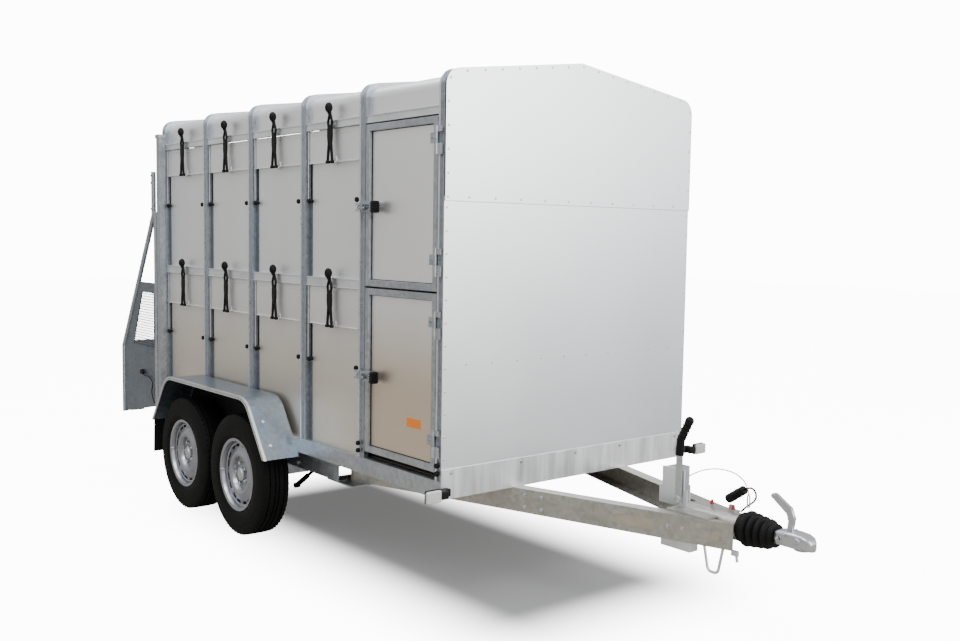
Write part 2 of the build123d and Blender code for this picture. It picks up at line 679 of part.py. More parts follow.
with BuildPart() as lift_platform:
    block((-782, 782), span(3005, 3478), (platform_top - 6, platform_top))
    block((-698, 698), span(2908, 3006), (platform_top - 6, platform_top))
    for first in (2908, 3180, 3438):
        half = 698 if first < 3000 else 782
        block((-half, half), span(first, first + 40), (platform_top - 46, platform_top - 6))
        trough = span(first + 5, first + 35)
        block((-half + 6, half - 6), trough, (platform_top - 47, platform_top - 10), Mode.SUBTRACT)
    for s in sides:
        block((s * 660, s * 700), span(2948, 3438), (platform_top - 46, platform_top - 6))
    # hinge pins of the ramp flap, held in lugs on the rear edge
    for x in (-600, -200, 200, 600):
        rod((x - 62, at(ramp_hinge[0]), ramp_hinge[1]), (x + 62, at(ramp_hinge[0]), ramp_hinge[1]), 4)
        for s in sides:
            block((x + s * 42, x + s * 56), span(3478.5, 3494), (504, 519))
    # tail lamps under the rear corners
    for s in sides:
        block((s * 680, s * 768), span(3440, 3478), (378, platform_top - 46))
save(lift_platform, "lift_platform")

# Ramp flap on the platform's rear edge, turning down about its hinge.
with BuildPart() as ramp_flap:
    block((-768, 768), span(3482, 3500), (526, 846))
    block((-762, 762), span(3485, 3501), (532, 840), Mode.SUBTRACT)
    block((-764, 764), span(3482, 3485), (530, 842))
    for x in (-600, -200, 200, 600):
        rod((x - 40, at(ramp_hinge[0]), ramp_hinge[1]), (x + 40, at(ramp_hinge[0]), ramp_hinge[1]), 8)
        block((x - 38, x + 38), span(3484, 3492), (514, 530))
        pin_y, pin_z = at(ramp_hinge[0]), ramp_hinge[1]
        rod((x - 50, pin_y, pin_z), (x + 50, pin_y, pin_z), 4.05, Mode.SUBTRACT)
save(ramp_flap, "ramp_flap")

# Rear gates: a pair of leaves at each deck, hung on the jambs.
for row, (low, high) in gate_spans.items():
    hinge_y = at(gate_hinges[row])
    face = (2866, 2884)
    strap_faces = (2884, 2890) if row == "upper" else (2860, 2866)
    knuckle_reach = (at(2884), hinge_y) if row == "upper" else (hinge_y, at(2866))
    for s in sides:
        hinge_side = s * gate_hinge_x
        with BuildPart() as gate:
            for z in (low + 100, high - 100):
                rod((hinge_side, hinge_y, z), (hinge_side, hinge_y, z + 30), 7)
                block((s * 640, hinge_side - s * 7), span(*strap_faces), (z, z + 30))
                block((hinge_side - s * 8, hinge_side), knuckle_reach, (z, z + 30))
                rod((hinge_side, hinge_y, z - 1), (hinge_side, hinge_y, z + 31), 3.55, Mode.SUBTRACT)
            block((s * 4, s * gate_outer), span(*face), (low, high))
            opening = span(face[0] - 1, face[1] + 1)
            block((s * 30, s * (gate_outer - 26)), opening, (low + 26, high - 26), Mode.SUBTRACT)
            block((s * 20, s * (gate_outer - 20)), span(2873, 2877), (low + 20, high - 20))
        save(gate, f"gate_{row}_{'right' if s < 0 else 'left'}")
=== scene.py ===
import bpy
import bmesh
import math
from mathutils import Matrix, Vector


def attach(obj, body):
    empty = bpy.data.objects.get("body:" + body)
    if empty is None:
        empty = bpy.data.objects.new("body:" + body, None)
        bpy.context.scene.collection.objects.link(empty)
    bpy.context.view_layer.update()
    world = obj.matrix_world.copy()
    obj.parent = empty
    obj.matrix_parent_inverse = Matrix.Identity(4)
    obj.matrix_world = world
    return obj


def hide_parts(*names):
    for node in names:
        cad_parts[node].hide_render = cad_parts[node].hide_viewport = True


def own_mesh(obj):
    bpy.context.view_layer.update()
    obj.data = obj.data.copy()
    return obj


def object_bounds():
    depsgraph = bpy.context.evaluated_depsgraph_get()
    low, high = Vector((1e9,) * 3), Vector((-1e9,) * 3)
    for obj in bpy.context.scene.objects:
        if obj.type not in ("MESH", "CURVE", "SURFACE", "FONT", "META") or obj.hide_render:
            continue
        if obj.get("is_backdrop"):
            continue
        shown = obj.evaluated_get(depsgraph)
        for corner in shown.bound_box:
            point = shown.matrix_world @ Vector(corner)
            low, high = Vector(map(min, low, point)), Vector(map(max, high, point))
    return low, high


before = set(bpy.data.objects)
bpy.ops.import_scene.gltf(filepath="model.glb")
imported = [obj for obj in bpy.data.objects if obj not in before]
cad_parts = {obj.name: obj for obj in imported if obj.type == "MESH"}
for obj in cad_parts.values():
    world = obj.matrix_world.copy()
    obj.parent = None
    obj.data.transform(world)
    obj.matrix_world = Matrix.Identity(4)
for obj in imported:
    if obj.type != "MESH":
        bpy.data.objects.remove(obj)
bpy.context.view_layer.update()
print("stage: frame loaded")

# Sizes are in millimetres: x across, d rearwards from the front panel, z up from the ground.
frontY = -1124.0
trailer = {
    "halfWidth": 765, "ridge": 2358, "pitch": math.radians(7.8), "eave": 75, "ridgeBend": 60,
    "sillTop": 555, "postDepth": 25, "deckRail": (1326, 1372), "topRail": (2075, 2111),
    "posts": [(4, 44), (590, 640), (1125, 1175), (1687, 1737), (2247, 2297), (2845, 2890)],
}
ventRows = {"lower": (1141, 1324), "upper": (1916, 2073)}
sideNames = {-1: "right", 1: "left"}


def pt(x, d, z):
    return Vector((x, frontY + d, z)) / 1000


def addBox(bm, x, d, z, bevel=1.0, turn=None):
    # a box between limits, with bevelled edges; turn is a matrix in metres laid over it
    low, high = pt(x[0], d[0], z[0]), pt(x[1], d[1], z[1])
    size = Vector(abs(a - b) for a, b in zip(low, high))
    place = Matrix.Translation((low + high) / 2) @ Matrix.Diagonal((*size, 1))
    verts = bmesh.ops.create_cube(bm, size=1, matrix=place)["verts"]
    if bevel:
        edges = list({e for v in verts for e in v.link_edges})
        made = bmesh.ops.bevel(bm, geom=edges, offset=min(bevel / 1000, min(size) * 0.45), segments=2,
                               profile=0.5, affect="EDGES", material=-1)
        verts = list({v for f in made["faces"] for v in f.verts} | {v for v in verts if v.is_valid})
    if turn:
        bmesh.ops.transform(bm, matrix=turn, verts=verts)
    return verts


def addRod(bm, start, end, radius, endRadius=None, bevel=0.0, sides=24):
    # a round bar or cone between two points given as (x, d, z)
    a, b = pt(*start), pt(*end)
    place = Matrix.Translation((a + b) / 2) @ (b - a).to_track_quat("Z", "Y").to_matrix().to_4x4()
    made = bmesh.ops.create_cone(bm, cap_ends=True, segments=sides, radius1=radius / 1000,
                                 radius2=(radius if endRadius is None else endRadius) / 1000,
                                 depth=(b - a).length, matrix=place)
    if bevel:
        verts = made["verts"]
        around = {e for v in verts for e in v.link_edges}
        rims = [e for e in around if any(len(f.verts) == sides for f in e.link_faces)]
        bmesh.ops.bevel(bm, geom=rims, offset=bevel / 1000, segments=3, profile=0.5, affect="EDGES",
                        material=-1)


def addBall(bm, centre, radius, stretch=(1, 1, 1), rings=12):
    place = Matrix.Translation(pt(*centre)) @ Matrix.Diagonal((*stretch, 1))
    bmesh.ops.create_uvsphere(bm, u_segments=rings * 2, v_segments=rings, radius=radius / 1000, matrix=place)


def addDome(bm, centre, out, radius, height):
    # a rivet head: a low faceted dome standing on a face
    sides = 10
    turn = Vector(out).normalized().to_track_quat("Z", "Y").to_matrix().to_4x4()
    place = Matrix.Translation(pt(*centre)) @ turn
    angles = [k * math.tau / sides for k in range(sides)]
    loops = []
    for tilt in (0, 0.55, 1.1):
        r, h = radius / 1000 * math.cos(tilt), height / 1000 * math.sin(tilt)
        loops.append([bm.verts.new(place @ Vector((r * math.cos(a), r * math.sin(a), h))) for a in angles])
    for lower, upper in zip(loops, loops[1:]):
        for k in range(sides):
            after = (k + 1) % sides
            bm.faces.new((lower[k], lower[after], upper[after], upper[k]))
    bm.faces.new(loops[-1])
    bm.faces.new(list(reversed(loops[0])))


def addBolt(bm, centre, out, size, height=6, washer=True):
    # a hexagon head on a washer
    a, z = Vector(centre), Vector(out).normalized()
    if washer:
        addRod(bm, a, a + z * 2, size * 0.95, bevel=0.5)
    addRod(bm, a + z * 1.5, a + z * (1.5 + height), size * 0.58, bevel=0.7, sides=6)


def addPrism(bm, points, lift, depth, bevel=0.0):
    # a flat outline of 3-D points pushed along a direction
    offset = Vector(lift).normalized() * depth / 1000
    verts = [bm.verts.new(pt(*p)) for p in points]
    face = bm.faces.new(verts)
    made = bmesh.ops.extrude_face_region(bm, geom=[face])
    top = [g for g in made["geom"] if isinstance(g, bmesh.types.BMVert)]
    bmesh.ops.translate(bm, vec=offset, verts=top)
    if bevel:
        ends = {e for f in ({face} if face.is_valid else set()) for e in f.edges}
        ends |= {e for g in made["geom"] if isinstance(g, bmesh.types.BMFace) for e in g.edges}
        bmesh.ops.bevel(bm, geom=list(ends), offset=bevel / 1000, segments=2, profile=0.5,
                        affect="EDGES", material=-1)


def addLathe(bm, profile, centre, axis, steps=64):
    # profile is a list of (along the axis, radius) turned fully about the axis through centre
    z = Vector(axis).normalized()
    side = z.orthogonal().normalized()
    c = pt(*centre)
    verts = [bm.verts.new(c + z * a / 1000 + side * r / 1000) for a, r in profile]
    edges = [bm.edges.new(pair) for pair in zip(verts, verts[1:])]
    bmesh.ops.spin(bm, geom=verts + edges, cent=c, axis=z, dvec=(0, 0, 0), angle=math.tau, steps=steps,
                   use_merge=True, use_duplicate=False)


def addBand(bm, outer, inner, first, last):
    # a strip bent along two outlines of (x, z), between two distances
    rows = [[bm.verts.new(pt(x, d, z)) for x, z in line] for line in (outer, inner) for d in (first, last)]
    a, b, c, e = rows
    for k in range(len(outer) - 1):
        for p, q in ((a, b), (b, e), (e, c), (c, a)):
            bm.faces.new((p[k], p[k + 1], q[k + 1], q[k]))
    for k in (0, -1):
        bm.faces.new((a[k], b[k], e[k], c[k]))


def finishPiece(bm, name, body, material, replaces=(), sharp=34):
    bmesh.ops.recalc_face_normals(bm, faces=bm.faces)
    for face in bm.faces:
        face.smooth = True
    for edge in bm.edges:
        edge.smooth = edge.calc_face_angle(0) < math.radians(sharp)
    mesh = bpy.data.meshes.new(name)
    bm.to_mesh(mesh)
    bm.free()
    piece = bpy.data.objects.new(name, mesh)
    bpy.context.scene.collection.objects.link(piece)
    mesh.materials.append(material)
    even = piece.modifiers.new("even", "WEIGHTED_NORMAL")
    even.keep_sharp = True
    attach(piece, body)
    if replaces:
        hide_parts(*replaces)
    return piece


def fillet(points, radii, steps=6):
    # round the inner corners of an open line
    line = [Vector(points[0])]
    for before, corner, after, radius in zip(points, points[1:], points[2:], radii):
        c = Vector(corner)
        u, v = (Vector(before) - c).normalized(), (Vector(after) - c).normalized()
        half = u.angle(v) / 2
        reach = radius / math.tan(half)
        centre = c + (u + v).normalized() * radius / math.sin(half)
        p, q = c + u * reach - centre, c + v * reach - centre
        turn = p.angle(q)
        for k in range(steps + 1):
            t = k / steps
            line.append(centre + (p * math.sin((1 - t) * turn) + q * math.sin(t * turn)) / math.sin(turn))
    line.append(Vector(points[-1]))
    return line


def archLine(inset, foot):
    half = trailer["halfWidth"] - inset
    ridge = trailer["ridge"] - inset / math.cos(trailer["pitch"])
    eave = ridge - half * math.tan(trailer["pitch"])
    points = [(-half, foot), (-half, eave), (0, ridge), (half, eave), (half, foot)]
    bends = [trailer["eave"] - inset, trailer["ridgeBend"], trailer["eave"] - inset]
    return [tuple(p) for p in fillet(points, bends, 8)]


# Materials: every one works in object coordinates.
def surface(name, base, second=None, metal=0.0, rough=(0.4, 0.5), cells=0.0, mix=0.5, noise=6.0,
            stretch=(1, 1, 1), bump=0.0, bumpScale=200.0, coat=0.0, paintedLight=None):
    material = bpy.data.materials.new(name)
    material.use_nodes = True
    nodes, links = material.node_tree.nodes, material.node_tree.links
    shader = nodes["Principled BSDF"]
    place = nodes.new("ShaderNodeTexCoord")
    mapping = nodes.new("ShaderNodeMapping")
    mapping.inputs["Scale"].default_value = stretch
    links.new(place.outputs["Object"], mapping.inputs["Vector"])
    cloud = nodes.new("ShaderNodeTexNoise")
    cloud.inputs["Scale"].default_value = noise
    cloud.inputs["Detail"].default_value = 6
    links.new(mapping.outputs["Vector"], cloud.inputs["Vector"])
    factor = cloud.outputs["Fac"]
    if cells:
        spangle = nodes.new("ShaderNodeTexVoronoi")
        spangle.inputs["Scale"].default_value = cells
        links.new(place.outputs["Object"], spangle.inputs["Vector"])
        grey = nodes.new("ShaderNodeRGBToBW")
        links.new(spangle.outputs["Color"], grey.inputs["Color"])
        blend = nodes.new("ShaderNodeMath")
        blend.operation = "MULTIPLY_ADD"
        blend.inputs[1].default_value = 0.45
        links.new(grey.outputs["Val"], blend.inputs[0])
        half = nodes.new("ShaderNodeMath")
        half.operation = "MULTIPLY"
        half.inputs[1].default_value = 0.55
        links.new(factor, half.inputs[0])
        links.new(half.outputs[0], blend.inputs[2])
        factor = blend.outputs[0]
    ramp = nodes.new("ShaderNodeMapRange")
    ramp.inputs["From Min"].default_value = 0.5 - mix / 2
    ramp.inputs["From Max"].default_value = 0.5 + mix / 2
    links.new(factor, ramp.inputs["Value"])
    colour = nodes.new("ShaderNodeMix")
    colour.data_type = "RGBA"
    colour.inputs[6].default_value = (*base, 1)
    colour.inputs[7].default_value = (*(second or base), 1)
    links.new(ramp.outputs["Result"], colour.inputs[0])
    paint = colour.outputs[2]
    # paintedLight multiplies the colour by a tint that grows along one direction: painted shade and painted
    # reflection, not the metal's own colour.
    if paintedLight:
        along = nodes.new("ShaderNodeVectorMath")
        along.operation = "DOT_PRODUCT"
        along.inputs[1].default_value = paintedLight["along"]
        links.new(place.outputs["Object"], along.inputs[0])
        reach = nodes.new("ShaderNodeMapRange")
        reach.interpolation_type = "SMOOTHSTEP"
        reach.inputs["From Min"].default_value, reach.inputs["From Max"].default_value = paintedLight["span"]
        links.new(along.outputs["Value"], reach.inputs["Value"])
        paintedTint = nodes.new("ShaderNodeMix")
        paintedTint.data_type = "RGBA"
        paintedTint.blend_type = "MULTIPLY"
        paintedTint.inputs[7].default_value = (*paintedLight["paintedTint"], 1)
        links.new(paint, paintedTint.inputs[6])
        links.new(reach.outputs["Result"], paintedTint.inputs[0])
        paint = paintedTint.outputs[2]
    links.new(paint, shader.inputs["Base Color"])
    gloss = nodes.new("ShaderNodeMapRange")
    gloss.inputs["To Min"].default_value = rough[0]
    gloss.inputs["To Max"].default_value = rough[1]
    links.new(ramp.outputs["Result"], gloss.inputs["Value"])
    links.new(gloss.outputs["Result"], shader.inputs["Roughness"])
    shader.inputs["Metallic"].default_value = metal
    shader.inputs["Coat Weight"].default_value = coat
    if bump:
        grain = nodes.new("ShaderNodeTexNoise")
        grain.inputs["Scale"].default_value = bumpScale
        grain.inputs["Detail"].default_value = 3
        links.new(mapping.outputs["Vector"], grain.inputs["Vector"])
        relief = nodes.new("ShaderNodeBump")
        relief.inputs["Strength"].default_value = bump
        relief.inputs["Distance"].default_value = 0.002
        links.new(grain.outputs["Fac"], relief.inputs["Height"])
        links.new(relief.outputs["Normal"], shader.inputs["Normal"])
    return material


looks = {
    "galvanised": surface("galvanised", (0.30, 0.33, 0.36), (0.50, 0.53, 0.56),
                          0.9, (0.30, 0.46), 60, 0.7, 5, bump=0.15, bumpScale=60),
    "postSteel": surface("postSteel", (0.24, 0.27, 0.31), (0.42, 0.45, 0.49),
                         0.9, (0.30, 0.44), 70, 0.8, 5, (1, 1, 0.3), 0.1, 40),
    "brightSteel": surface("brightSteel", (0.60, 0.63, 0.66), (0.80, 0.82, 0.84),
                           0.92, (0.24, 0.36), 60, 0.8, 12, (1, 1, 0.2)),
    "darkSteel": surface("darkSteel", (0.10, 0.12, 0.15), (0.24, 0.27, 0.31),
                         0.85, (0.38, 0.5), 90, 0.7, 6),
    # A darker copy of the galvanised steel for the mudguards: painted shade.
    "shadedGuardSteel": surface("shadedGuardSteel", (0.15, 0.19, 0.24), (0.27, 0.32, 0.37),
                          0.9, (0.30, 0.42), 55, 0.8, 5, bump=0.08, bumpScale=50),
    "warmSteel": surface("warmSteel", (0.32, 0.31, 0.28), (0.54, 0.53, 0.49),
                         0.85, (0.32, 0.5), 55, 0.8, 9, bump=0.15, bumpScale=70),
    "streakSteel": surface("streakSteel", (0.62, 0.64, 0.66), (0.92, 0.94, 0.95),
                           0.85, (0.3, 0.45), 0, 0.5, 5, (7, 1, 0.7), 0.1, 50),
    # The front sheet (and the roof) darkens towards the lower right: painted shade.
    "frontSheet": surface("frontSheet", (0.88, 0.90, 0.91), (0.95, 0.96, 0.96),
                          0.92, (0.34, 0.42), 0, 0.8, 2.5, bump=0.05, bumpScale=4,
                          paintedLight={"along": (0.5, 0, -0.6), "span": (-1.55, 0.1), "paintedTint": (0.76, 0.79, 0.82)}),
    # The side sheets turn tan towards the bottom: painted reflection of the warm floor.
    "sideSheet": surface("sideSheet", (0.78, 0.79, 0.79), (0.88, 0.89, 0.90),
                         0.9, (0.42, 0.52), 0, 0.9, 1.6, (1, 1.2, 0.5), 0.12, 3,
                         paintedLight={"along": (0, 0, -1), "span": (-1.45, -0.75), "paintedTint": (0.80, 0.73, 0.63)}),
    # The door sheets turn tan towards the bottom: painted reflection of the warm floor.
    "doorSheet": surface("doorSheet", (0.86, 0.86, 0.86), (0.96, 0.96, 0.96),
                         0.92, (0.36, 0.46), 0, 0.9, 1.4, (1, 1, 0.5), 0.12, 3,
                         paintedLight={"along": (0, 0, -1), "span": (-1.35, -0.85), "paintedTint": (0.74, 0.63, 0.49)}),
    "zinc": surface("zinc", (0.48, 0.50, 0.53), (0.62, 0.63, 0.65), 0.95, (0.22, 0.36), 0, 0.8, 30),
    "rimSilver": surface("rimSilver", (0.28, 0.29, 0.32), (0.37, 0.38, 0.41),
                         0.85, (0.24, 0.34), 0, 0.8, 14),
    "rubber": surface("rubber", (0.004, 0.004, 0.004), (0.010, 0.010, 0.010),
                      0, (0.5, 0.62), 0, 0.8, 20, bump=0.15, bumpScale=300),
    "tyre": surface("tyre", (0.0015, 0.0015, 0.0015), (0.005, 0.005, 0.005),
                    0, (0.58, 0.72), 0, 0.8, 12, bump=0.2, bumpScale=240),
    "plastic": surface("plastic", (0.004, 0.004, 0.004), (0.008, 0.008, 0.008),
                       0, (0.32, 0.42), 0, 0.8, 20),
    "lens": surface("lens", (0.42, 0.43, 0.42), (0.58, 0.58, 0.56), 0, (0.08, 0.16), 0, 0.8, 10, coat=0.6),
    "redPlastic": surface("redPlastic", (0.34, 0.006, 0.003), (0.42, 0.012, 0.006),
                          0, (0.3, 0.4), 0, 0.8, 20),
    "orange": surface("orange", (0.72, 0.16, 0.0), (0.78, 0.20, 0.0), 0, (0.35, 0.45), 0, 0.8, 20),
    "label": surface("label", (0.30, 0.26, 0.20), (0.42, 0.37, 0.30), 0.2, (0.35, 0.45), 0, 0.8, 20),
    "plywood": surface("plywood", (0.12, 0.08, 0.05), (0.20, 0.14, 0.09),
                       0, (0.55, 0.7), 0, 0.8, 8, (6, 1, 1), 0.15, 90),
}
for name in ("rubber", "tyre", "plastic"):
    looks[name].node_tree.nodes["Principled BSDF"].inputs["Specular IOR Level"].default_value = 0.12
print("stage: materials made")

# CAD parts that keep their own shape.
carried = {
    "galvanised": ["chassis_frame", "rear_frame", "axles", "lift_masts", "lift_platform", "ramp_flap",
                   "gate_lower_right", "gate_lower_left", "gate_upper_right", "gate_upper_left"],
    "warmSteel": ["drawbar_beams", "overrun_housing"], "streakSteel": ["drawbar_fittings"],
    "sideSheet": ["side_skins"], "frontSheet": ["roof_skin"], "plywood": ["deck_boards"],
    "zinc": ["door_hinges", "ram_stages"],
}
for look, names in carried.items():
    for name in names:
        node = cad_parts[name]
        node.data.materials.clear()
        node.data.materials.append(looks[look])

# Posts and bows: a set-back web with a front flange, and a bright flange at the rear edge.
postShape = {"flange": 6, "setBack": 8}
bm, edges = bmesh.new(), bmesh.new()
foot = trailer["sillTop"]
for first, last in trailer["posts"]:
    inner = archLine(trailer["postDepth"], foot)
    addBand(bm, archLine(postShape["setBack"], foot), inner, first + 1, last - postShape["flange"] - 0.2)
    addBand(bm, archLine(1, foot), inner, first, first + postShape["flange"])
    addBand(edges, archLine(0, foot), inner, last - 2 * postShape["flange"], last)
finishPiece(bm, "postWebs", "chassis", looks["postSteel"], ["posts_and_bows"])
finishPiece(edges, "postFlanges", "chassis", looks["brightSteel"], sharp=20)

# Rails along both sides, with two bright edges.
bm, bright = bmesh.new(), bmesh.new()
gaps = list(zip([p[1] for p in trailer["posts"]], [p[0] for p in trailer["posts"][1:]]))
for number, (first, last) in zip((5, 4, 3, 2, 1), gaps):
    for s in (-1, 1):
        for rail in (trailer["deckRail"], trailer["topRail"]):
            if number == 5 and s < 0 and rail is trailer["deckRail"]:
                continue
            addBox(bm, (s * 740, s * 758), (first, last), (rail[0] + 1, rail[1] - 1), 1)
            addBox(bright, (s * 741, s * 762), (first, last), (rail[1] - 6, rail[1]), 1.5)
            addBox(bright, (s * 741, s * 762), (first, last), (rail[0], rail[0] + 5), 1.5)
finishPiece(bm, "railWebs", "chassis", looks["streakSteel"], ["side_rails"])
finishPiece(bright, "railEdges", "chassis", looks["brightSteel"])

# Guides at both ends of each vent flap.
bm = bmesh.new()
for first, last in gaps[1:]:
    for s in (-1, 1):
        for low, high in ventRows.values():
            for edge, inward in ((first, 1), (last, -1)):
                addBox(bm, (s * 740, s * 756), (edge, edge + inward * 6), (low - 188, high + 2), 1)
                addBox(bm, (s * 752, s * 756), (edge, edge + inward * 14), (low - 188, high + 2), 1)
finishPiece(bm, "flapGuides", "chassis", looks["brightSteel"], ["flap_guides"])
# Dark strips in the rear guide of each vent flap only: painted shade of the slot.
bm = bmesh.new()
for first, last in gaps[1:]:
    for s in (-1, 1):
        for low, high in ventRows.values():
            addBox(bm, (s * 740.1, s * 742.4), (last - 27, last - 13), (low - 168, high), 0.4)
finishPiece(bm, "guideSlotShade", "chassis", looks["rubber"])
# Dark strips at the rear end of each bay, just in front of the next post: painted shade.
bm = bmesh.new()
for first, last in gaps[1:]:
    for s in (-1, 1):
        for low, high in ((555, 1326), (1372, 2075)):
            addBox(bm, (s * 739.9, s * 741.3), (last - 30, last), (low, high), 0.4)
finishPiece(bm, "postGapShade", "chassis", looks["darkSteel"])

# Rubber stops and buffers.
bm = bmesh.new()
for first, last in gaps[1:]:
    for s in (-1, 1):
        for low, high in ventRows.values():
            for d in (first + 28, last - 28):
                addRod(bm, (s * 740, d, low - 178), (s * 764, d, low - 178), 8, 8, 1)
                addRod(bm, (s * 754, d, low - 178), (s * 766, d, low - 178), 12.4, 11.4, 3)
for d, z in ((628, 586), (628, 620), (24, 588), (24, 622)):
    addRod(bm, (-765, d, z), (-779, d, z), 12, 10.5, 3)
finishPiece(bm, "rubberStops", "chassis", looks["rubber"], ["rubber_stops"])


# Vent flaps with their straps.
strapShape = {"waist": [(72, 13), (96, 18), (124, 21), (150, 20), (174, 15)], "leg": 6.6, "head": 19}


def strap(s, d, z, body):
    bm = bmesh.new()
    for side in (-1, 1):
        addBox(bm, (s * 765, s * 781), (d + side * 10, d + side * 30), (z - 6, z + 8), 3)
    for side in (-1, 1):
        addRod(bm, (s * 773, d + side * 20, z + 2), (s * 773, d + side * 9, z + 92), strapShape["leg"],
               7, 1, 12)
        addRod(bm, (s * 773, d + side * 12, z + 158), (s * 773, d + side * 18, z + 190), 6, 6, 1, 12)
        addRod(bm, (s * 773, d + side * 18, z + 187), (s * 773, d + side * 3, z + 224), 6, 6.4, 1, 12)
        addBall(bm, (s * 773, d + side * 18, z + 188), 6.2, rings=7)
    waist = [(s * 768, d - w, z + h) for h, w in strapShape["waist"]]
    waist += [(s * 768, d + w, z + h) for h, w in reversed(strapShape["waist"])]
    addPrism(bm, waist, (s, 0, 0), 10, 2.5)
    addRod(bm, (s * 773, d, z + 214), (s * 778, d, z + 240), 8.5, 7.5, 1, 16)
    addRod(bm, (s * 776, d, z + 226), (s * 777, d, z + 231), 11, 11, 1.5, 16)
    addBall(bm, (s * 780, d, z + 253), strapShape["head"], (0.95, 1, 1.3))
    finishPiece(bm, body.replace("flap", "strap"), body, looks["rubber"])


for s in (-1, 1):
    for row, (low, high) in ventRows.items():
        for number, (first, last) in zip((4, 3, 2, 1), gaps[1:]):
            name = f"flap_{sideNames[s]}_{row}_{number}"
            middle = (first + last) / 2
            bm = bmesh.new()
            addBox(bm, (s * 743, s * 749), (first + 8, last - 8), (low, high), 1)
            addBox(bm, (s * 748, s * 758), (first + 20, last - 20), (low, low + 4), 1.5)
            addBox(bm, (s * 748, s * 751), (first + 20, last - 20), (high - 22, high - 18), 1)
            addBox(bm, (s * 748, s * 767), (middle - 24, middle + 24), (low - 6, low - 2), 1)
            addBox(bm, (s * 748, s * 752), (middle - 24, middle + 24), (low - 6, low + 26), 1)
            addRod(bm, (s * 760, middle - 24, low), (s * 760, middle + 24, low), 3.5, bevel=1, sides=16)
            for d in (middle - 17, middle + 17):
                addDome(bm, (s * 752, d, low + 18), (s, 0, 0), 4, 2)
            finishPiece(bm, name + "_plate", name, looks["sideSheet"], [name])
            strap(s, middle, low, name)
print("stage: walls and flaps made")

# Side doors: angle frames around set-back panels, with a dark seal in the gap.
doors = {"lower": ((588, 1339), (700, 1197), 941), "upper": ((1347, 2069), (1456, 1956), 1702)}
for row, ((low, high), hinges, latchZ) in doors.items():
    body = f"side_door_{row}"
    bm = bmesh.new()
    for d in ((48, 78), (556, 586)):
        addBox(bm, (-742, -765), d, (low, high), 2)
    for z in ((low, low + 30), (high - 30, high)):
        addBox(bm, (-742, -764), (70, 564), z, 2)
    for z in hinges:
        addRod(bm, (-775, 46, z + 1), (-775, 46, z + 45), 8, bevel=1)
        addBox(bm, (-764, -770), (53, 95), (z + 1, z + 45), 1)
        addBox(bm, (-765, -771), (49, 56), (z + 1, z + 45), 1)
        for d in (68, 84):
            addBolt(bm, (-770, d, z + 23), (-1, 0, 0), 7, 3, False)
    for z0, z1 in ((latchZ - 22, latchZ - 7.2), (latchZ + 7.2, latchZ + 22)):
        addBox(bm, (-764, -790), (505, 585), (z0, z1), 1.5)
    for d0, d1 in ((505, 519), (569, 585)):
        addBox(bm, (-764, -791), (d0, d1), (latchZ - 22, latchZ + 22), 2)
    finishPiece(bm, f"doorFrame_{row}", body, looks["galvanised"], [body])
    bm = bmesh.new()
    addBox(bm, (-745, -749), (68, 566), (low + 20, high - 20), 0.5)
    finishPiece(bm, f"doorPanel_{row}", body, looks["doorSheet"])
    bm = bmesh.new()
    addBox(bm, (-743, -755), (44.6, 48.2), (low, high), 0.5)
    addBox(bm, (-743, -755), (585.8, 589.4), (low, high), 0.5)
    for z in (low + 30, high - 33):
        addBox(bm, (-748.5, -752), (78, 556), (z, z + 3), 0.5)
    for d in (78, 553):
        addBox(bm, (-748.5, -752), (d, d + 3), (low + 30, high - 30), 0.5)
    finishPiece(bm, f"doorSeal_{row}", body, looks["rubber"])
    latch = f"door_latch_{row}"
    bm = bmesh.new()
    addRod(bm, (-780, 476, latchZ), (-780, 624, latchZ), 8, bevel=1.5)
    addBox(bm, (-776, -806), (553, 571), (latchZ - 17, latchZ + 17), 3)
    addRod(bm, (-800, 540, latchZ - 6), (-800, 584, latchZ - 6), 6, bevel=1)
    finishPiece(bm, f"latchBolt_{row}", latch, looks["postSteel"], [latch])
    bm = bmesh.new()
    addBox(bm, (-768, -804), (468, 492), (latchZ - 27, latchZ + 27), 6)
    for h in (-16, -5.3, 5.3, 16):
        addBox(bm, (-767, -805.5), (467, 493), (latchZ + h - 2, latchZ + h + 2), 1)
    finishPiece(bm, f"latchGrip_{row}", latch, looks["plastic"])
bm = bmesh.new()
addBox(bm, (-748.5, -749.8), (170, 272), (750, 790), 0.3)
finishPiece(bm, "doorSticker", "side_door_lower", looks["orange"])

# Front wall: two lapped sheets with rivets, and the thick strip with bolts.
frontWall = {"seam": 1722, "strip": (480, 608), "low": 490, "bolts": (-714, -325, 8, 305, 707)}
bm = bmesh.new()
outline = archLine(0, frontWall["seam"])
addPrism(bm, [(x, -3.2, z) for x, z in outline], (0, -1, 0), 2.8, 1)
addBox(bm, (-765, 765), (0, 3), (frontWall["low"], frontWall["seam"] + 18), 1)
inset = archLine(14, frontWall["seam"] + 17)
rows = [(x, -3, frontWall["seam"] + 17) for x in [-640 + k * 1280 / 9 for k in range(10)]]
length, spacing = 0.0, 96.0
for (xa, za), (xb, zb) in zip(inset, inset[1:]):
    step = math.hypot(xb - xa, zb - za)
    while length < step:
        rows.append((xa + (xb - xa) * length / step, -6, za + (zb - za) * length / step))
        length += spacing
    length -= step
for k in range(12):
    for s in (-1, 1):
        rows.append((s * 751, 0, 650 + k * 95))
rows += [(-640 + k * 1280 / 9, 0, 1043) for k in range(10)]
finishPiece(bm, "frontSheets", "chassis", looks["frontSheet"], ["front_panels"])
bm = bmesh.new()
for x, d, z in rows:
    addDome(bm, (x, -6 if d == -3 else d, z), (0, -1, 0), 5.5, 3)
finishPiece(bm, "frontRivets", "chassis", looks["zinc"])
bm = bmesh.new()
addBox(bm, (-765, 765), (-4, -0.2), frontWall["strip"], 1)
finishPiece(bm, "frontStrip", "chassis", looks["streakSteel"])
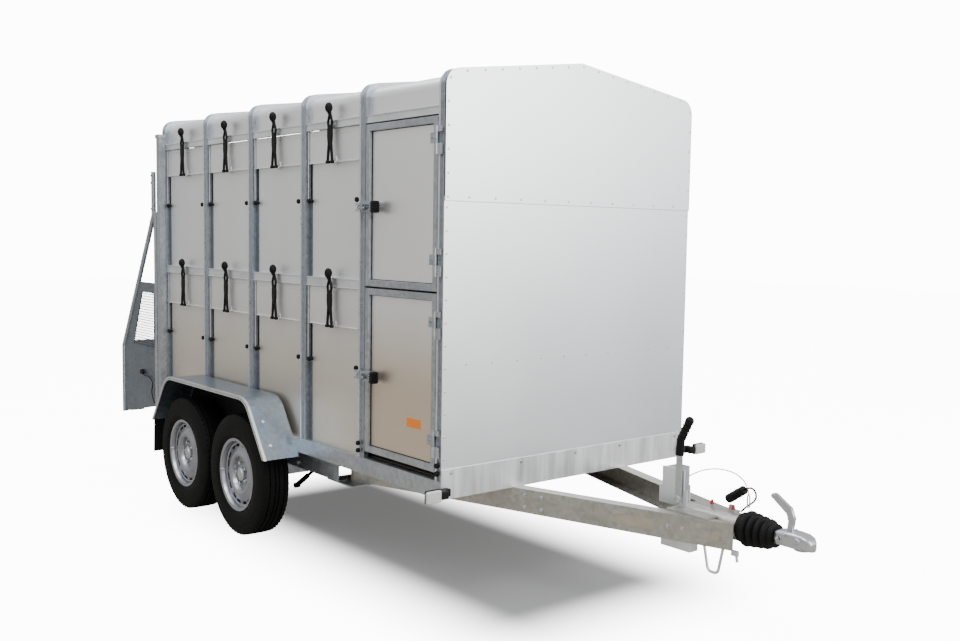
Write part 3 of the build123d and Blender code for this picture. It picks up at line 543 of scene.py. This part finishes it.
bm = bmesh.new()
for x in frontWall["bolts"]:
    addBolt(bm, (x, -4, 590), (0, -1, 0), 9, 5)
finishPiece(bm, "frontBolts", "chassis", looks["zinc"])
print("stage: front wall made")


# Mudguards with doubled rims, and rubber flaps behind them.
guard = {"ends": (1180, 2593), "tops": (1385, 2388), "top": 745, "foot": 460, "bend": 140}


def guardLine(inset):
    slope, top = inset * 1.23, inset * 0.53
    points = [(guard["ends"][0] + slope, guard["foot"]), (guard["tops"][0] + top, guard["top"] - inset),
              (guard["tops"][1] - top, guard["top"] - inset), (guard["ends"][1] - slope, guard["foot"])]
    return [tuple(p) for p in fillet(points, [guard["bend"] - inset] * 2, 10)]


def addGuardBand(bm, outer, inner, xa, xb):
    lines = [[bm.verts.new(pt(x, d, z)) for d, z in line] for line in (outer, inner) for x in (xa, xb)]
    a, b, c, e = lines
    for k in range(len(outer) - 1):
        for p, q in ((a, b), (b, e), (e, c), (c, a)):
            bm.faces.new((p[k], p[k + 1], q[k + 1], q[k]))
    for k in (0, -1):
        bm.faces.new((a[k], b[k], e[k], c[k]))


bm, rims, flaps, archShade = bmesh.new(), bmesh.new(), bmesh.new(), bmesh.new()
for s in (-1, 1):
    addGuardBand(bm, guardLine(0), guardLine(3), s * 765.5, s * 962)
    addGuardBand(bm, guardLine(3), guardLine(16), s * 765.6, s * 769)
    # A dark sheet inside each mudguard: painted shade under the arch.
    addPrism(archShade, [(s * 765.2, d, z) for d, z in guardLine(6)], (s, 0, 0), 1.6, 0)
    addGuardBand(rims, guardLine(-3), guardLine(5), s * 951, s * 965)
    addGuardBand(rims, guardLine(8), guardLine(15), s * 956, s * 965)
    addGuardBand(bm, guardLine(3), guardLine(15), s * 956, s * 960)
    for d, z in ((1222, 522), (1302, 632)):
        addBolt(rims, (s * 905, d, z), (0, -0.82, 0.57), 9, 5)
    sheet = ((2574, 500), (2580, 500), (2612, 450), (2622, 262), (2616, 262), (2606, 448))
    addPrism(flaps, [(s * 780, d, z) for d, z in sheet], (s, 0, 0), 165, 1)
finishPiece(bm, "mudguardShells", "chassis", looks["shadedGuardSteel"], ["mudguards"])
finishPiece(rims, "mudguardRims", "chassis", looks["brightSteel"])
finishPiece(flaps, "mudflaps", "chassis", looks["rubber"])
# The dark arch sheets are painted shade, not a part of the trailer.
finishPiece(archShade, "wheelArchShade", "chassis", looks["rubber"])
struts, tabs = bmesh.new(), bmesh.new()
for s in (-1, 1):
    addRod(struts, (s * 560, 1362, 342), (s * 560, 1470, 272), 9, bevel=1)
    addRod(struts, (s * 560, 1455, 282), (s * 560, 1572, 207), 14, bevel=3)
    addRod(struts, (s * 545, 1362, 342), (s * 575, 1362, 342), 15, bevel=2)
    addRod(struts, (s * 545, 1572, 207), (s * 575, 1572, 207), 15, bevel=2)
    addBox(struts, (s * 520, s * 600), (1360, 1480), (395, 470), 4)
    addBox(tabs, (s * 536, s * 584), (1340, 1372), (330, 478), 2)
    addBox(tabs, (s * 690, s * 704), (1290, 1318), (372, 482), 2)
    addRod(tabs, (s * 715, 1304, 400), (s * 690, 1304, 400), 10, bevel=2)
finishPiece(struts, "axleStruts", "chassis", looks["rubber"])
finishPiece(tabs, "strutTabs", "chassis", looks["zinc"])

# Wheels: treaded tyres, pressed rims with paired slots, hubs with nuts.
wheel = {"x": 858, "places": {"front": 1554, "rear": 2219}, "radius": 318, "steps": 96,
         "blocks": 64, "tread": (309, 316),
         "tyre": [(-60, 180), (-72, 196), (-80, 222), (-82, 250), (-80, 270), (-76, 290), (-73, 302),
                  (-68, 311), (-60, 315.5), (-44, 317.4), (-43.9, 309), (-37, 309), (-36.9, 317.6),
                  (-14, 318), (-13.9, 309), (-7, 309), (-6.9, 318), (6.9, 318), (7, 309), (13.9, 309),
                  (14, 318), (36.9, 317.6), (37, 309), (43.9, 309), (44, 317.4), (60, 315.5), (68, 311),
                  (73, 302), (76, 290), (78.5, 280), (77.5, 277), (79.5, 270), (82, 250), (80, 222),
                  (78, 212), (76, 210), (72, 196), (60, 180), (-60, 180)],
         "barrel": [(-72, 190), (-68, 190), (-66, 180), (62, 180), (68, 182), (70, 190), (73, 191),
                    (73, 186), (70, 176), (60, 172), (48, 168), (-64, 168), (-72, 186), (-72, 190)],
         "disc": [(46, 168), (43, 164), (42, 160), (42, 145), (45, 136), (52, 120), (57, 111),
                  (58, 104), (57, 97), (52, 90), (40, 86), (33, 83), (31, 76), (31, 36)],
         "hub": [(28, 36), (46, 35), (48, 33), (50, 27), (52, 26), (53, 20), (53, 0)]}
for s in (-1, 1):
    for row, place in wheel["places"].items():
        body = f"wheel_{sideNames[s]}_{row}"
        centre = (s * wheel["x"], place, wheel["radius"])
        bm = bmesh.new()
        addLathe(bm, wheel["tyre"], centre, (s, 0, 0), wheel["steps"])
        for k in range(wheel["blocks"]):
            angle = k * math.tau / wheel["blocks"]
            turn = (Matrix.Translation(pt(*centre)) @ Matrix.Rotation(angle, 4, "X")
                    @ Matrix.Translation(-pt(*centre)))
            for x0, x1 in ((46, 66), (-66, -46)):
                addBox(bm, (s * (wheel["x"] + x0), s * (wheel["x"] + x1)), (place - 8, place + 5),
                       [wheel["radius"] + reach for reach in wheel["tread"]], 0, turn)
        finishPiece(bm, f"tyre_{sideNames[s]}_{row}", body, looks["tyre"], [body], 40)
        bm = bmesh.new()
        addLathe(bm, wheel["barrel"], centre, (s, 0, 0), wheel["steps"])
        disc = bmesh.new()
        addLathe(disc, wheel["disc"], centre, (s, 0, 0), wheel["steps"])
        c = pt(*centre)
        slots = []
        for face in disc.faces:
            middle = face.calc_center_median() - c
            radius = math.hypot(middle.y, middle.z) * 1000
            turnPart = math.degrees(math.atan2(middle.z, middle.y)) % 45
            if 143 < radius < 160 and (3 < turnPart < 17 or 23 < turnPart < 37):
                slots.append(face)
        bmesh.ops.delete(disc, geom=slots, context="FACES")
        bmesh.ops.recalc_face_normals(disc, faces=disc.faces)
        bmesh.ops.solidify(disc, geom=disc.faces[:], thickness=0.0035)
        made = bpy.data.meshes.new("disc")
        disc.to_mesh(made)
        disc.free()
        bm.from_mesh(made)
        bpy.data.meshes.remove(made)
        finishPiece(bm, f"rim_{sideNames[s]}_{row}", body, looks["rimSilver"], sharp=40)
        bm = bmesh.new()
        addLathe(bm, wheel["hub"], centre, (s, 0, 0), 32)
        for k in range(5):
            a = k * math.tau / 5
            y, z = place + 56 * math.cos(a), wheel["radius"] + 56 * math.sin(a)
            addRod(bm, (s * (wheel["x"] + 30), y, z), (s * (wheel["x"] + 47), y, z), 10.5, 9.5, 1, 6)
            addBall(bm, (s * (wheel["x"] + 46), y, z), 8, (0.6, 1, 1), 6)
        valveTip = (s * (wheel["x"] + 72), place + 176, wheel["radius"])
        valveFoot = (s * (wheel["x"] + 60), place + 160, wheel["radius"])
        addRod(bm, valveTip, valveFoot, 4, sides=10)
        finishPiece(bm, f"hub_{sideNames[s]}_{row}", body, looks["zinc"])
print("stage: wheels made")

# Drawbar: bolts and blank labels on the beams, grease caps and collars on the overrun tube.
drawbar = {"nose": (-960, 70), "slope": 0.31, "shaft": 458}


def beamX(d):
    return drawbar["nose"][1] + (d - drawbar["nose"][0]) * drawbar["slope"]


bm = bmesh.new()
normal = Vector((1, -drawbar["slope"], 0)).normalized()
for s in (-1, 1):
    out = (s * normal.x, normal.y, 0)
    for d, z in ((-60, 400), (-60, 455), (-140, 400), (-140, 455), (-700, 428), (-760, 428)):
        addBolt(bm, (s * (beamX(d) + 0.5), d, z), out, 10, 6)
finishPiece(bm, "beamBolts", "chassis", looks["zinc"])
bm = bmesh.new()
for d in (-800, -905):
    addRod(bm, (0, d, 518), (0, d, 530), 9, 6, 2)
    addBall(bm, (0, d, 531), 6, rings=8)
finishPiece(bm, "greaseCaps", "chassis", looks["redPlastic"])
bm = bmesh.new()
for d0, d1 in ((-950, -938), (-652, -640)):
    addRod(bm, (0, d0, 458), (0, d1, 458), 48, bevel=2, sides=40)
addRod(bm, (0, -700, 458), (0, -690, 458), 46.5, bevel=1.5, sides=40)
finishPiece(bm, "housingCollars", "chassis", looks["warmSteel"])
bm = bmesh.new()
for d0, d1, z0, z1, lift in ((-640, -482, 402, 446, 0.4), (-906, -880, 402, 430, 0.4),
                             (-868, -842, 402, 430, 0.4)):
    corners = [(-(beamX(d) + lift), d, z) for d, z in ((d0, z0), (d1, z0), (d1, z1), (d0, z1))]
    addPrism(bm, corners, (-normal.x, normal.y, 0), 0.4)
finishPiece(bm, "drawbarLabels", "chassis", looks["label"])

# Coupling head: a pressed body with a rounded nose, over the ball socket, and its raised handle.
bm = bmesh.new()
addRod(bm, (0, -1150, 458), (0, -652, 458), 25, bevel=1, sides=40)
sections = [(-1118, 30, 30), (-1135, 36, 34), (-1165, 40, 37), (-1200, 40, 38), (-1235, 37, 35),
            (-1256, 32, 27), (-1268, 22, 14), (-1272, 12, 4)]
rings = []
for d, half, high in sections:
    low = -24 if d < -1130 else -26
    ring = []
    for k in range(28):
        a = k * math.tau / 28
        cx, cz = math.cos(a), math.sin(a)
        power = 0.45
        x = half * math.copysign(abs(cx) ** power, cx)
        z = (low + high) / 2 + (high - low) / 2 * math.copysign(abs(cz) ** power, cz)
        ring.append(bm.verts.new(pt(x, d, 458 + z)))
    rings.append(ring)
for a, b in zip(rings, rings[1:]):
    for k in range(28):
        bm.faces.new((a[k], a[(k + 1) % 28], b[(k + 1) % 28], b[k]))
bm.faces.new(rings[0])
bm.faces.new(list(reversed(rings[-1])))
addRod(bm, (-50, -1166, 484), (50, -1166, 484), 5, bevel=1)
for s in (-1, 1):
    addBolt(bm, (s * 42, -1166, 484), (s, 0, 0), 9, 5)
    addBolt(bm, (s * 41, -1138, 462), (s, 0, 0), 9, 5)
    addRod(bm, (s * 36, -1220, 470), (s * 42, -1220, 470), 13, 10, 2)
    addBox(bm, (s * 36, s * 39), (-1240, -1150), (440, 446), 1)
addRod(bm, (0, -1222, 430), (0, -1222, 437), 30, 33, 2, 40)
finishPiece(bm, "couplingBody", "coupling", looks["zinc"], ["coupling_head"])
bm = bmesh.new()
outline = [(-1178, 480), (-1154, 480), (-1160, 528), (-1152, 554), (-1090, 600), (-1084, 620),
           (-1102, 624), (-1172, 580), (-1188, 542)]
addPrism(bm, [(-8, d, z) for d, z in outline], (1, 0, 0), 16, 3)
addRod(bm, (-11, -1092, 612), (11, -1092, 612), 10, bevel=3)
finishPiece(bm, "couplingLever", "coupling_handle", looks["zinc"], ["coupling_handle"])
bm = bmesh.new()
profile = [(0, 40), (0, 57), (3, 59), (17, 59), (20, 57)]
for fold in range(4):
    start, crest = 20 + fold * 30, 71 - fold * 4
    profile += [(start + 1, 54 - fold * 3), (start + 5, crest - 7), (start + 10, crest - 1),
                (start + 15, crest), (start + 20, crest - 1.5), (start + 25, crest - 8),
                (start + 29, 53 - fold * 3)]
profile += [(141, 46), (143, 47), (158, 46), (161, 43), (161, 26), (140, 28), (0, 38), (0, 40)]
addLathe(bm, profile, (0, -952, drawbar["shaft"]), (0, -1, 0), 64)
bellows = finishPiece(bm, "bellowsBody", "chassis", looks["rubber"], ["bellows"], 40)
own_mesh(bellows)

# Handbrake: flat lever with a bent ribbed grip.
bm = bmesh.new()
addBox(bm, (-57, -47), (-684, -654), (500, 716), 2)
addRod(bm, (-60, -668, 516), (-44, -668, 516), 15, bevel=1.5)
addBolt(bm, (-58, -668, 516), (-1, 0, 0), 10, 5)
finishPiece(bm, "brakeLever", "brake_lever", looks["zinc"], ["brake_lever"])
bm = bmesh.new()
addRod(bm, (-52, -669, 700), (-52, -673, 765), 18, 17, 3)
addRod(bm, (-52, -673, 765), (-52, -714, 846), 17, 16, 3)
addBall(bm, (-52, -673, 765), 17.5)
addBall(bm, (-52, -715, 848), 18.5)
for k in range(5):
    t = k / 5 + 0.1
    a = (-52, -673 - 41 * t, 765 + 81 * t)
    addRod(bm, a, (a[0], a[1] - 2.4, a[2] + 4.8), 18.6, bevel=1.8)
finishPiece(bm, "brakeGrip", "brake_lever", looks["plastic"])

# Cords, with the plugs and the hook on their ends.
cords = {
    "plugLead": dict(
        route=[(34, -931, 598), (34, -956, 613), (33, -982, 602), (31, -990, 574), (29, -971, 551),
               (26, -946, 533), (22, -926, 510)],
        diameter=8, look="plastic", length=172),
    "breakawayCable": dict(
        route=[(39, -651, 600), (32, -702, 629), (24, -760, 650), (14, -825, 664),
               (5, -890, 665), (-2, -940, 652), (-6, -968, 630), (-8, -981, 598)],
        diameter=5, look="redPlastic", length=375),
    "liftCable": dict(
        route=[(-802, 3140, 664), (-802, 3114, 652), (-801, 3080, 655), (-800, 3040, 650), (-800, 3002, 634),
               (-800, 2984, 612), (-800, 3000, 588), (-800, 3008, 562), (-800, 2998, 536), (-800, 2980, 514),
               (-798, 2970, 492)],
        diameter=7, look="plastic", length=303),
}


def cordCurve(name, settings):
    curve = bpy.data.curves.new(name, "CURVE")
    curve.dimensions = "3D"
    curve.bevel_depth = settings["diameter"] / 2000
    curve.bevel_resolution = 5
    curve.use_fill_caps = True
    line = curve.splines.new("NURBS")
    points = [pt(*p) for p in settings["route"]]
    line.points.add(len(points) - 1)
    for knot, p in zip(line.points, points):
        knot.co = (*p, 1)
    line.order_u = 3
    line.use_endpoint_u = True
    line.resolution_u = 12
    curve.materials.append(looks[settings["look"]])
    piece = bpy.data.objects.new(name, curve)
    bpy.context.scene.collection.objects.link(piece)
    return piece


bm = bmesh.new()
addRod(bm, (34, -852, 543), (34, -930, 597), 18, bevel=3, sides=32)
for t in (0.12, 0.3, 0.62):
    a = (34, -852 - 78 * t, 543 + 54 * t)
    addRod(bm, a, (34, a[1] - 6, a[2] + 4.2), 19, bevel=1.5, sides=32)
plugBody = finishPiece(bm, "plugBody", "chassis", looks["plastic"], ["parked_plug"])
bm = bmesh.new()
hookSteps = 12
halfRound = [math.pi * k / hookSteps for k in range(hookSteps + 1)]
outline = [(7 * math.cos(a), 18 * up + 7 * math.sin(a) * up) for up in (1, -1)
           for a in (halfRound if up > 0 else halfRound[::-1])]
hole = [(3.5 * d / 7, 18 * math.copysign(1, z) + (z - 18 * math.copysign(1, z)) / 2) for d, z in outline]
rings = [[bm.verts.new(pt(x, -981.5 + d, 566 + z)) for d, z in line]
         for x in (-11, -6) for line in (outline, hole)]
count = len(outline)
for k in range(count):
    n = (k + 1) % count
    for a, b in ((rings[0], rings[1]), (rings[1], rings[3]), (rings[3], rings[2]), (rings[2], rings[0])):
        bm.faces.new((a[k], a[n], b[n], b[k]))
addRod(bm, (-8, -981.5, 588), (-8, -981.5, 597), 4, bevel=0.6)
hookBody = finishPiece(bm, "hookBody", "chassis", looks["zinc"], ["breakaway_hook"])
bm = bmesh.new()
addRod(bm, (-802, 3140, 664), (-802, 3156, 671), 9, bevel=1.5)
addRod(bm, (-790.2, 3164, 674), (-811, 3164, 674), 15, bevel=2, sides=32)
addRod(bm, (-790.2, 3164, 674), (-796, 3164, 674), 15, 15, 1)
liftPlug = finishPiece(bm, "liftPlugBody", "lift", looks["plastic"], ["lift_plug"])
ends = {"plugLead": ("chassis", (22, -926, 510), "plug", plugBody, "plug_lead"),
        "breakawayCable": ("chassis", (39, -651, 600), "fitting", hookBody, "breakaway_cable"),
        "liftCable": ("lift", (-798, 2970, 492), "plug", liftPlug, "lift_cable")}
for name, settings in cords.items():
    body, exitPoint, farEnd, tip, node = ends[name]
    piece = cordCurve(name, settings)
    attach(piece, body)
    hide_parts(node)
print("stage: drawbar and cords made")

# Marker lamps: rounded white lenses on black rubber arms.
arms, lenses = bmesh.new(), bmesh.new()
for s in (-1, 1):
    addBox(arms, (s * 736, s * 806), (-34, -4.6), (499, 533), 6)
    addBox(arms, (s * 766, s * 812), (-61, -30), (499, 533), 7)
    addBox(arms, (s * 804, s * 880), (-52, -38), (489, 545), 6)
    addBox(lenses, (s * 808, s * 884), (-66, -50), (491, 543), 7)
finishPiece(arms, "lampArms", "chassis", looks["rubber"], ["marker_lamps"])
finishPiece(lenses, "lampLenses", "chassis", looks["lens"])

# Lift: guards of tube and plate with a mesh window, and the ram rods.
lift = {
    "x": 788, "top": (2975, 1680), "low": (3505, 815), "ram": (738, 2955),
    "window": ((2975, 840), (3330, 840), (3170, 1192), (2975, 1192)),
}
tubes, plates, wires, rods = bmesh.new(), bmesh.new(), bmesh.new(), bmesh.new()
for s in (-1, 1):
    x = s * lift["x"]
    for (a, b), (c, e) in (((2975, 1950), lift["top"]), (lift["top"], lift["low"]),
                           (lift["low"], (3505, 368)), ((2940, 480), (2940, 1700))):
        addRod(tubes, (x, a, b), (x, c, e), 15, bevel=1.5)
    for a, b in (lift["top"], lift["low"]):
        addBall(tubes, (x, a, b), 15)
    for z in (1720, 1880, 1925):
        addBolt(tubes, (s * 803, 2975, z), (s, 0, 0), 7, 4)
    for z in (500, 1100):
        addBox(tubes, (s * 779, s * 791), (2873, 2935), (z, z + 60), 2)
    outer = [(2935, 478), (3505, 368), (3505, 815), (3240, 1255), (2935, 1255)]
    inner = lift["window"]
    loops = [[plates.verts.new(pt(s * w, d, z)) for d, z in line] for w in (786, 790) for line in (
        outer, [inner[0], inner[1], inner[1], inner[2], inner[3]])]
    for k in range(5):
        n = (k + 1) % 5
        for a, b in ((loops[0], loops[1]), (loops[1], loops[3]), (loops[3], loops[2]), (loops[2], loops[0])):
            plates.faces.new((a[k], a[n], b[n], b[k]))
    for (a, b), (c, e) in zip(inner, inner[1:] + inner[:1]):
        addRod(wires, (s * 791, a, b), (s * 791, c, e), 2.5, sides=8)
        for t in (0.1, 0.5, 0.9):
            addDome(wires, (s * 790, a + (c - a) * t, b + (e - b) * t), (s, 0, 0), 5, 2.5)
    pitch = 17
    for k in range(1, 28):
        d = 2975 + k * pitch
        high = 1192 if d < 3170 else 1192 - (d - 3170) * 352 / 160
        if d < 3328:
            addBox(wires, (s * 787.2, s * 789), (d - 2.4, d + 2.4), (838, high), 0)
    for k in range(1, 28):
        z = 840 + k * pitch
        if z < 1190:
            addBox(wires, (s * 787, s * 788.6), (2973, 3330 - (z - 840) * 160 / 352), (z - 2.4, z + 2.4), 0)
    rx, rd = s * lift["ram"][0], lift["ram"][1]
    addRod(rods, (rx, rd, 945), (rx, rd, 1645), 14, bevel=1)
    addBox(rods, (s * 736, s * 790), (2934, 2978), (1640, 1670), 3)
bmesh.ops.remove_doubles(plates, verts=plates.verts, dist=0.0001)
finishPiece(tubes, "guardTubes", "lift", looks["galvanised"], ["lift_guards"])
finishPiece(plates, "guardPlates", "lift", looks["darkSteel"])
finishPiece(wires, "guardMesh", "lift", looks["darkSteel"])
finishPiece(rods, "ramRods", "lift", looks["zinc"])

# Floor, light and camera. Light and reflections see the floor as a warm grey. Rays straight from the
# camera see it glow white, with a soft dark patch that is painted here and isn't cast by the lights.
darkPatch = {
    "centre": (-0.16, -0.2, 0), "half": (0.34, 1.1, 0), "edge": 0.7, "glow": (0.16, 11.0),
    "under": (0.20, 0.20, 0.20, 1), "open": (0.92, 0.92, 0.92, 1),
}
floorMesh = bpy.data.meshes.new("floor")
floorMesh.from_pydata([(-30, -30, 0), (30, -30, 0), (30, 30, 0), (-30, 30, 0)], [], [(0, 1, 2, 3)])
floor = bpy.data.objects.new("floor", floorMesh)
bpy.context.scene.collection.objects.link(floor)
paint = bpy.data.materials.new("floorWhite")
paint.use_nodes = True
nodes, links = paint.node_tree.nodes, paint.node_tree.links
seen = nodes.new("ShaderNodeLightPath")
tone = nodes.new("ShaderNodeMix")
tone.data_type = "RGBA"
tone.inputs[6].default_value = (0.36, 0.34, 0.31, 1)
links.new(seen.outputs["Is Camera Ray"], tone.inputs[0])
shader = nodes["Principled BSDF"]
links.new(tone.outputs[2], shader.inputs["Base Color"])
shader.inputs["Roughness"].default_value = 0.9
shader.inputs["Specular IOR Level"].default_value = 0.1
shader.inputs["Emission Color"].default_value = (1, 1, 1, 1)
where = nodes.new("ShaderNodeTexCoord")
shift = nodes.new("ShaderNodeVectorMath")
shift.operation = "SUBTRACT"
shift.inputs[1].default_value = darkPatch["centre"]
links.new(where.outputs["Object"], shift.inputs[0])
size = nodes.new("ShaderNodeVectorMath")
size.operation = "ABSOLUTE"
links.new(shift.outputs[0], size.inputs[0])
beyond = nodes.new("ShaderNodeVectorMath")
beyond.operation = "SUBTRACT"
beyond.inputs[1].default_value = darkPatch["half"]
links.new(size.outputs[0], beyond.inputs[0])
clip = nodes.new("ShaderNodeVectorMath")
clip.operation = "MAXIMUM"
links.new(beyond.outputs[0], clip.inputs[0])
away = nodes.new("ShaderNodeVectorMath")
away.operation = "LENGTH"
links.new(clip.outputs[0], away.inputs[0])
paintedLight = nodes.new("ShaderNodeMapRange")
paintedLight.interpolation_type = "SMOOTHSTEP"
paintedLight.inputs["From Max"].default_value = darkPatch["edge"]
paintedLight.inputs["To Min"].default_value, paintedLight.inputs["To Max"].default_value = darkPatch["glow"]
links.new(away.outputs["Value"], paintedLight.inputs["Value"])
glow = nodes.new("ShaderNodeMath")
glow.operation = "MULTIPLY"
links.new(seen.outputs["Is Camera Ray"], glow.inputs[0])
links.new(paintedLight.outputs["Result"], glow.inputs[1])
links.new(glow.outputs[0], shader.inputs["Emission Strength"])
shade = nodes.new("ShaderNodeMix")
shade.data_type = "RGBA"
shade.inputs[6].default_value = darkPatch["under"]
shade.inputs[7].default_value = darkPatch["open"]
portion = nodes.new("ShaderNodeMath")
portion.operation = "DIVIDE"
portion.inputs[1].default_value = paintedLight.inputs["To Max"].default_value
links.new(paintedLight.outputs["Result"], portion.inputs[0])
links.new(portion.outputs[0], shade.inputs[0])
links.new(shade.outputs[2], tone.inputs[7])
floorMesh.materials.append(paint)
floor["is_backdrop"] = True

# Surroundings, as light and reflections see them: bright ahead of the front wall, mid grey elsewhere and
# a little lighter overhead. Rays straight from the camera see plain white instead.
studio = {
    "ahead": (0.33, -0.90, 0.28), "spread": (0.68, 0.97), "overhead": (0.1, 0.8),
    "grey": (0.66, 0.65, 0.63, 1), "bright": (4.3, 4.35, 4.4, 1), "above": (1.0, 1.03, 1.08, 1),
    "camera": (13.0, 13.0, 13.0, 1),
}
world = bpy.data.worlds.new("studio")
bpy.context.scene.world = world
world.use_nodes = True
nodes, links = world.node_tree.nodes, world.node_tree.links
background = nodes["Background"]
sky = nodes.new("ShaderNodeTexCoord")
parts = nodes.new("ShaderNodeSeparateXYZ")
links.new(sky.outputs["Generated"], parts.inputs["Vector"])
facing = nodes.new("ShaderNodeVectorMath")
facing.operation = "DOT_PRODUCT"
facing.inputs[1].default_value = studio["ahead"]
links.new(sky.outputs["Generated"], facing.inputs[0])
ahead = nodes.new("ShaderNodeMapRange")
ahead.inputs["From Min"].default_value, ahead.inputs["From Max"].default_value = studio["spread"]
links.new(facing.outputs["Value"], ahead.inputs["Value"])
level = nodes.new("ShaderNodeMix")
level.data_type = "RGBA"
level.inputs[6].default_value = studio["grey"]
level.inputs[7].default_value = studio["bright"]
links.new(ahead.outputs["Result"], level.inputs[0])
height = nodes.new("ShaderNodeMapRange")
height.inputs["From Min"].default_value, height.inputs["From Max"].default_value = studio["overhead"]
links.new(parts.outputs["Z"], height.inputs["Value"])
upper = nodes.new("ShaderNodeMix")
upper.data_type = "RGBA"
upper.inputs[7].default_value = studio["above"]
links.new(level.outputs[2], upper.inputs[6])
links.new(height.outputs["Result"], upper.inputs[0])
seen = nodes.new("ShaderNodeLightPath")
shown = nodes.new("ShaderNodeMix")
shown.data_type = "RGBA"
shown.inputs[7].default_value = studio["camera"]
links.new(upper.outputs[2], shown.inputs[6])
links.new(seen.outputs["Is Camera Ray"], shown.inputs[0])
links.new(shown.outputs[2], background.inputs["Color"])

lights = {
    "key": dict(place=(-4.0, -4.0, 7.5), size=4.0, power=380),
    "fill": dict(place=(3.5, -7.5, 4.5), size=4.0, power=160),
    "top": dict(place=(-1.5, 1.5, 7.5), size=5.0, power=330),
}
for name, settings in lights.items():
    lamp = bpy.data.lights.new(name, "AREA")
    lamp.energy = settings["power"]
    lamp.size = settings["size"]
    light = bpy.data.objects.new(name, lamp)
    light.location = settings["place"]
    aim = Vector((0, 0, 1.0)) - Vector(settings["place"])
    light.rotation_euler = aim.to_track_quat("-Z", "Y").to_euler()
    bpy.context.scene.collection.objects.link(light)

shot = {"place": (-3.342, -4.515, 1.579), "heading": 39.28, "pitch": -4.63, "roll": 0.86, "lens": 39.0}
heading, pitch = math.radians(shot["heading"]), math.radians(shot["pitch"])
look = Vector((math.sin(heading) * math.cos(pitch), math.cos(heading) * math.cos(pitch), math.sin(pitch)))
right = Vector((math.cos(heading), -math.sin(heading), 0))
up = right.cross(look)
roll = math.radians(shot["roll"])
across = right * math.cos(roll) + up * math.sin(roll)
above = up * math.cos(roll) - right * math.sin(roll)
lens = bpy.data.cameras.new("camera")
lens.lens = shot["lens"]
lens.sensor_width = 36
lens.clip_end = 200
camera = bpy.data.objects.new("camera", lens)
camera.matrix_world = Matrix.Translation(shot["place"]) @ Matrix((across, above, -look)).transposed().to_4x4()
bpy.context.scene.collection.objects.link(camera)
bpy.context.scene.camera = camera
print("stage: stage, lights and camera set")

low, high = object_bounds()
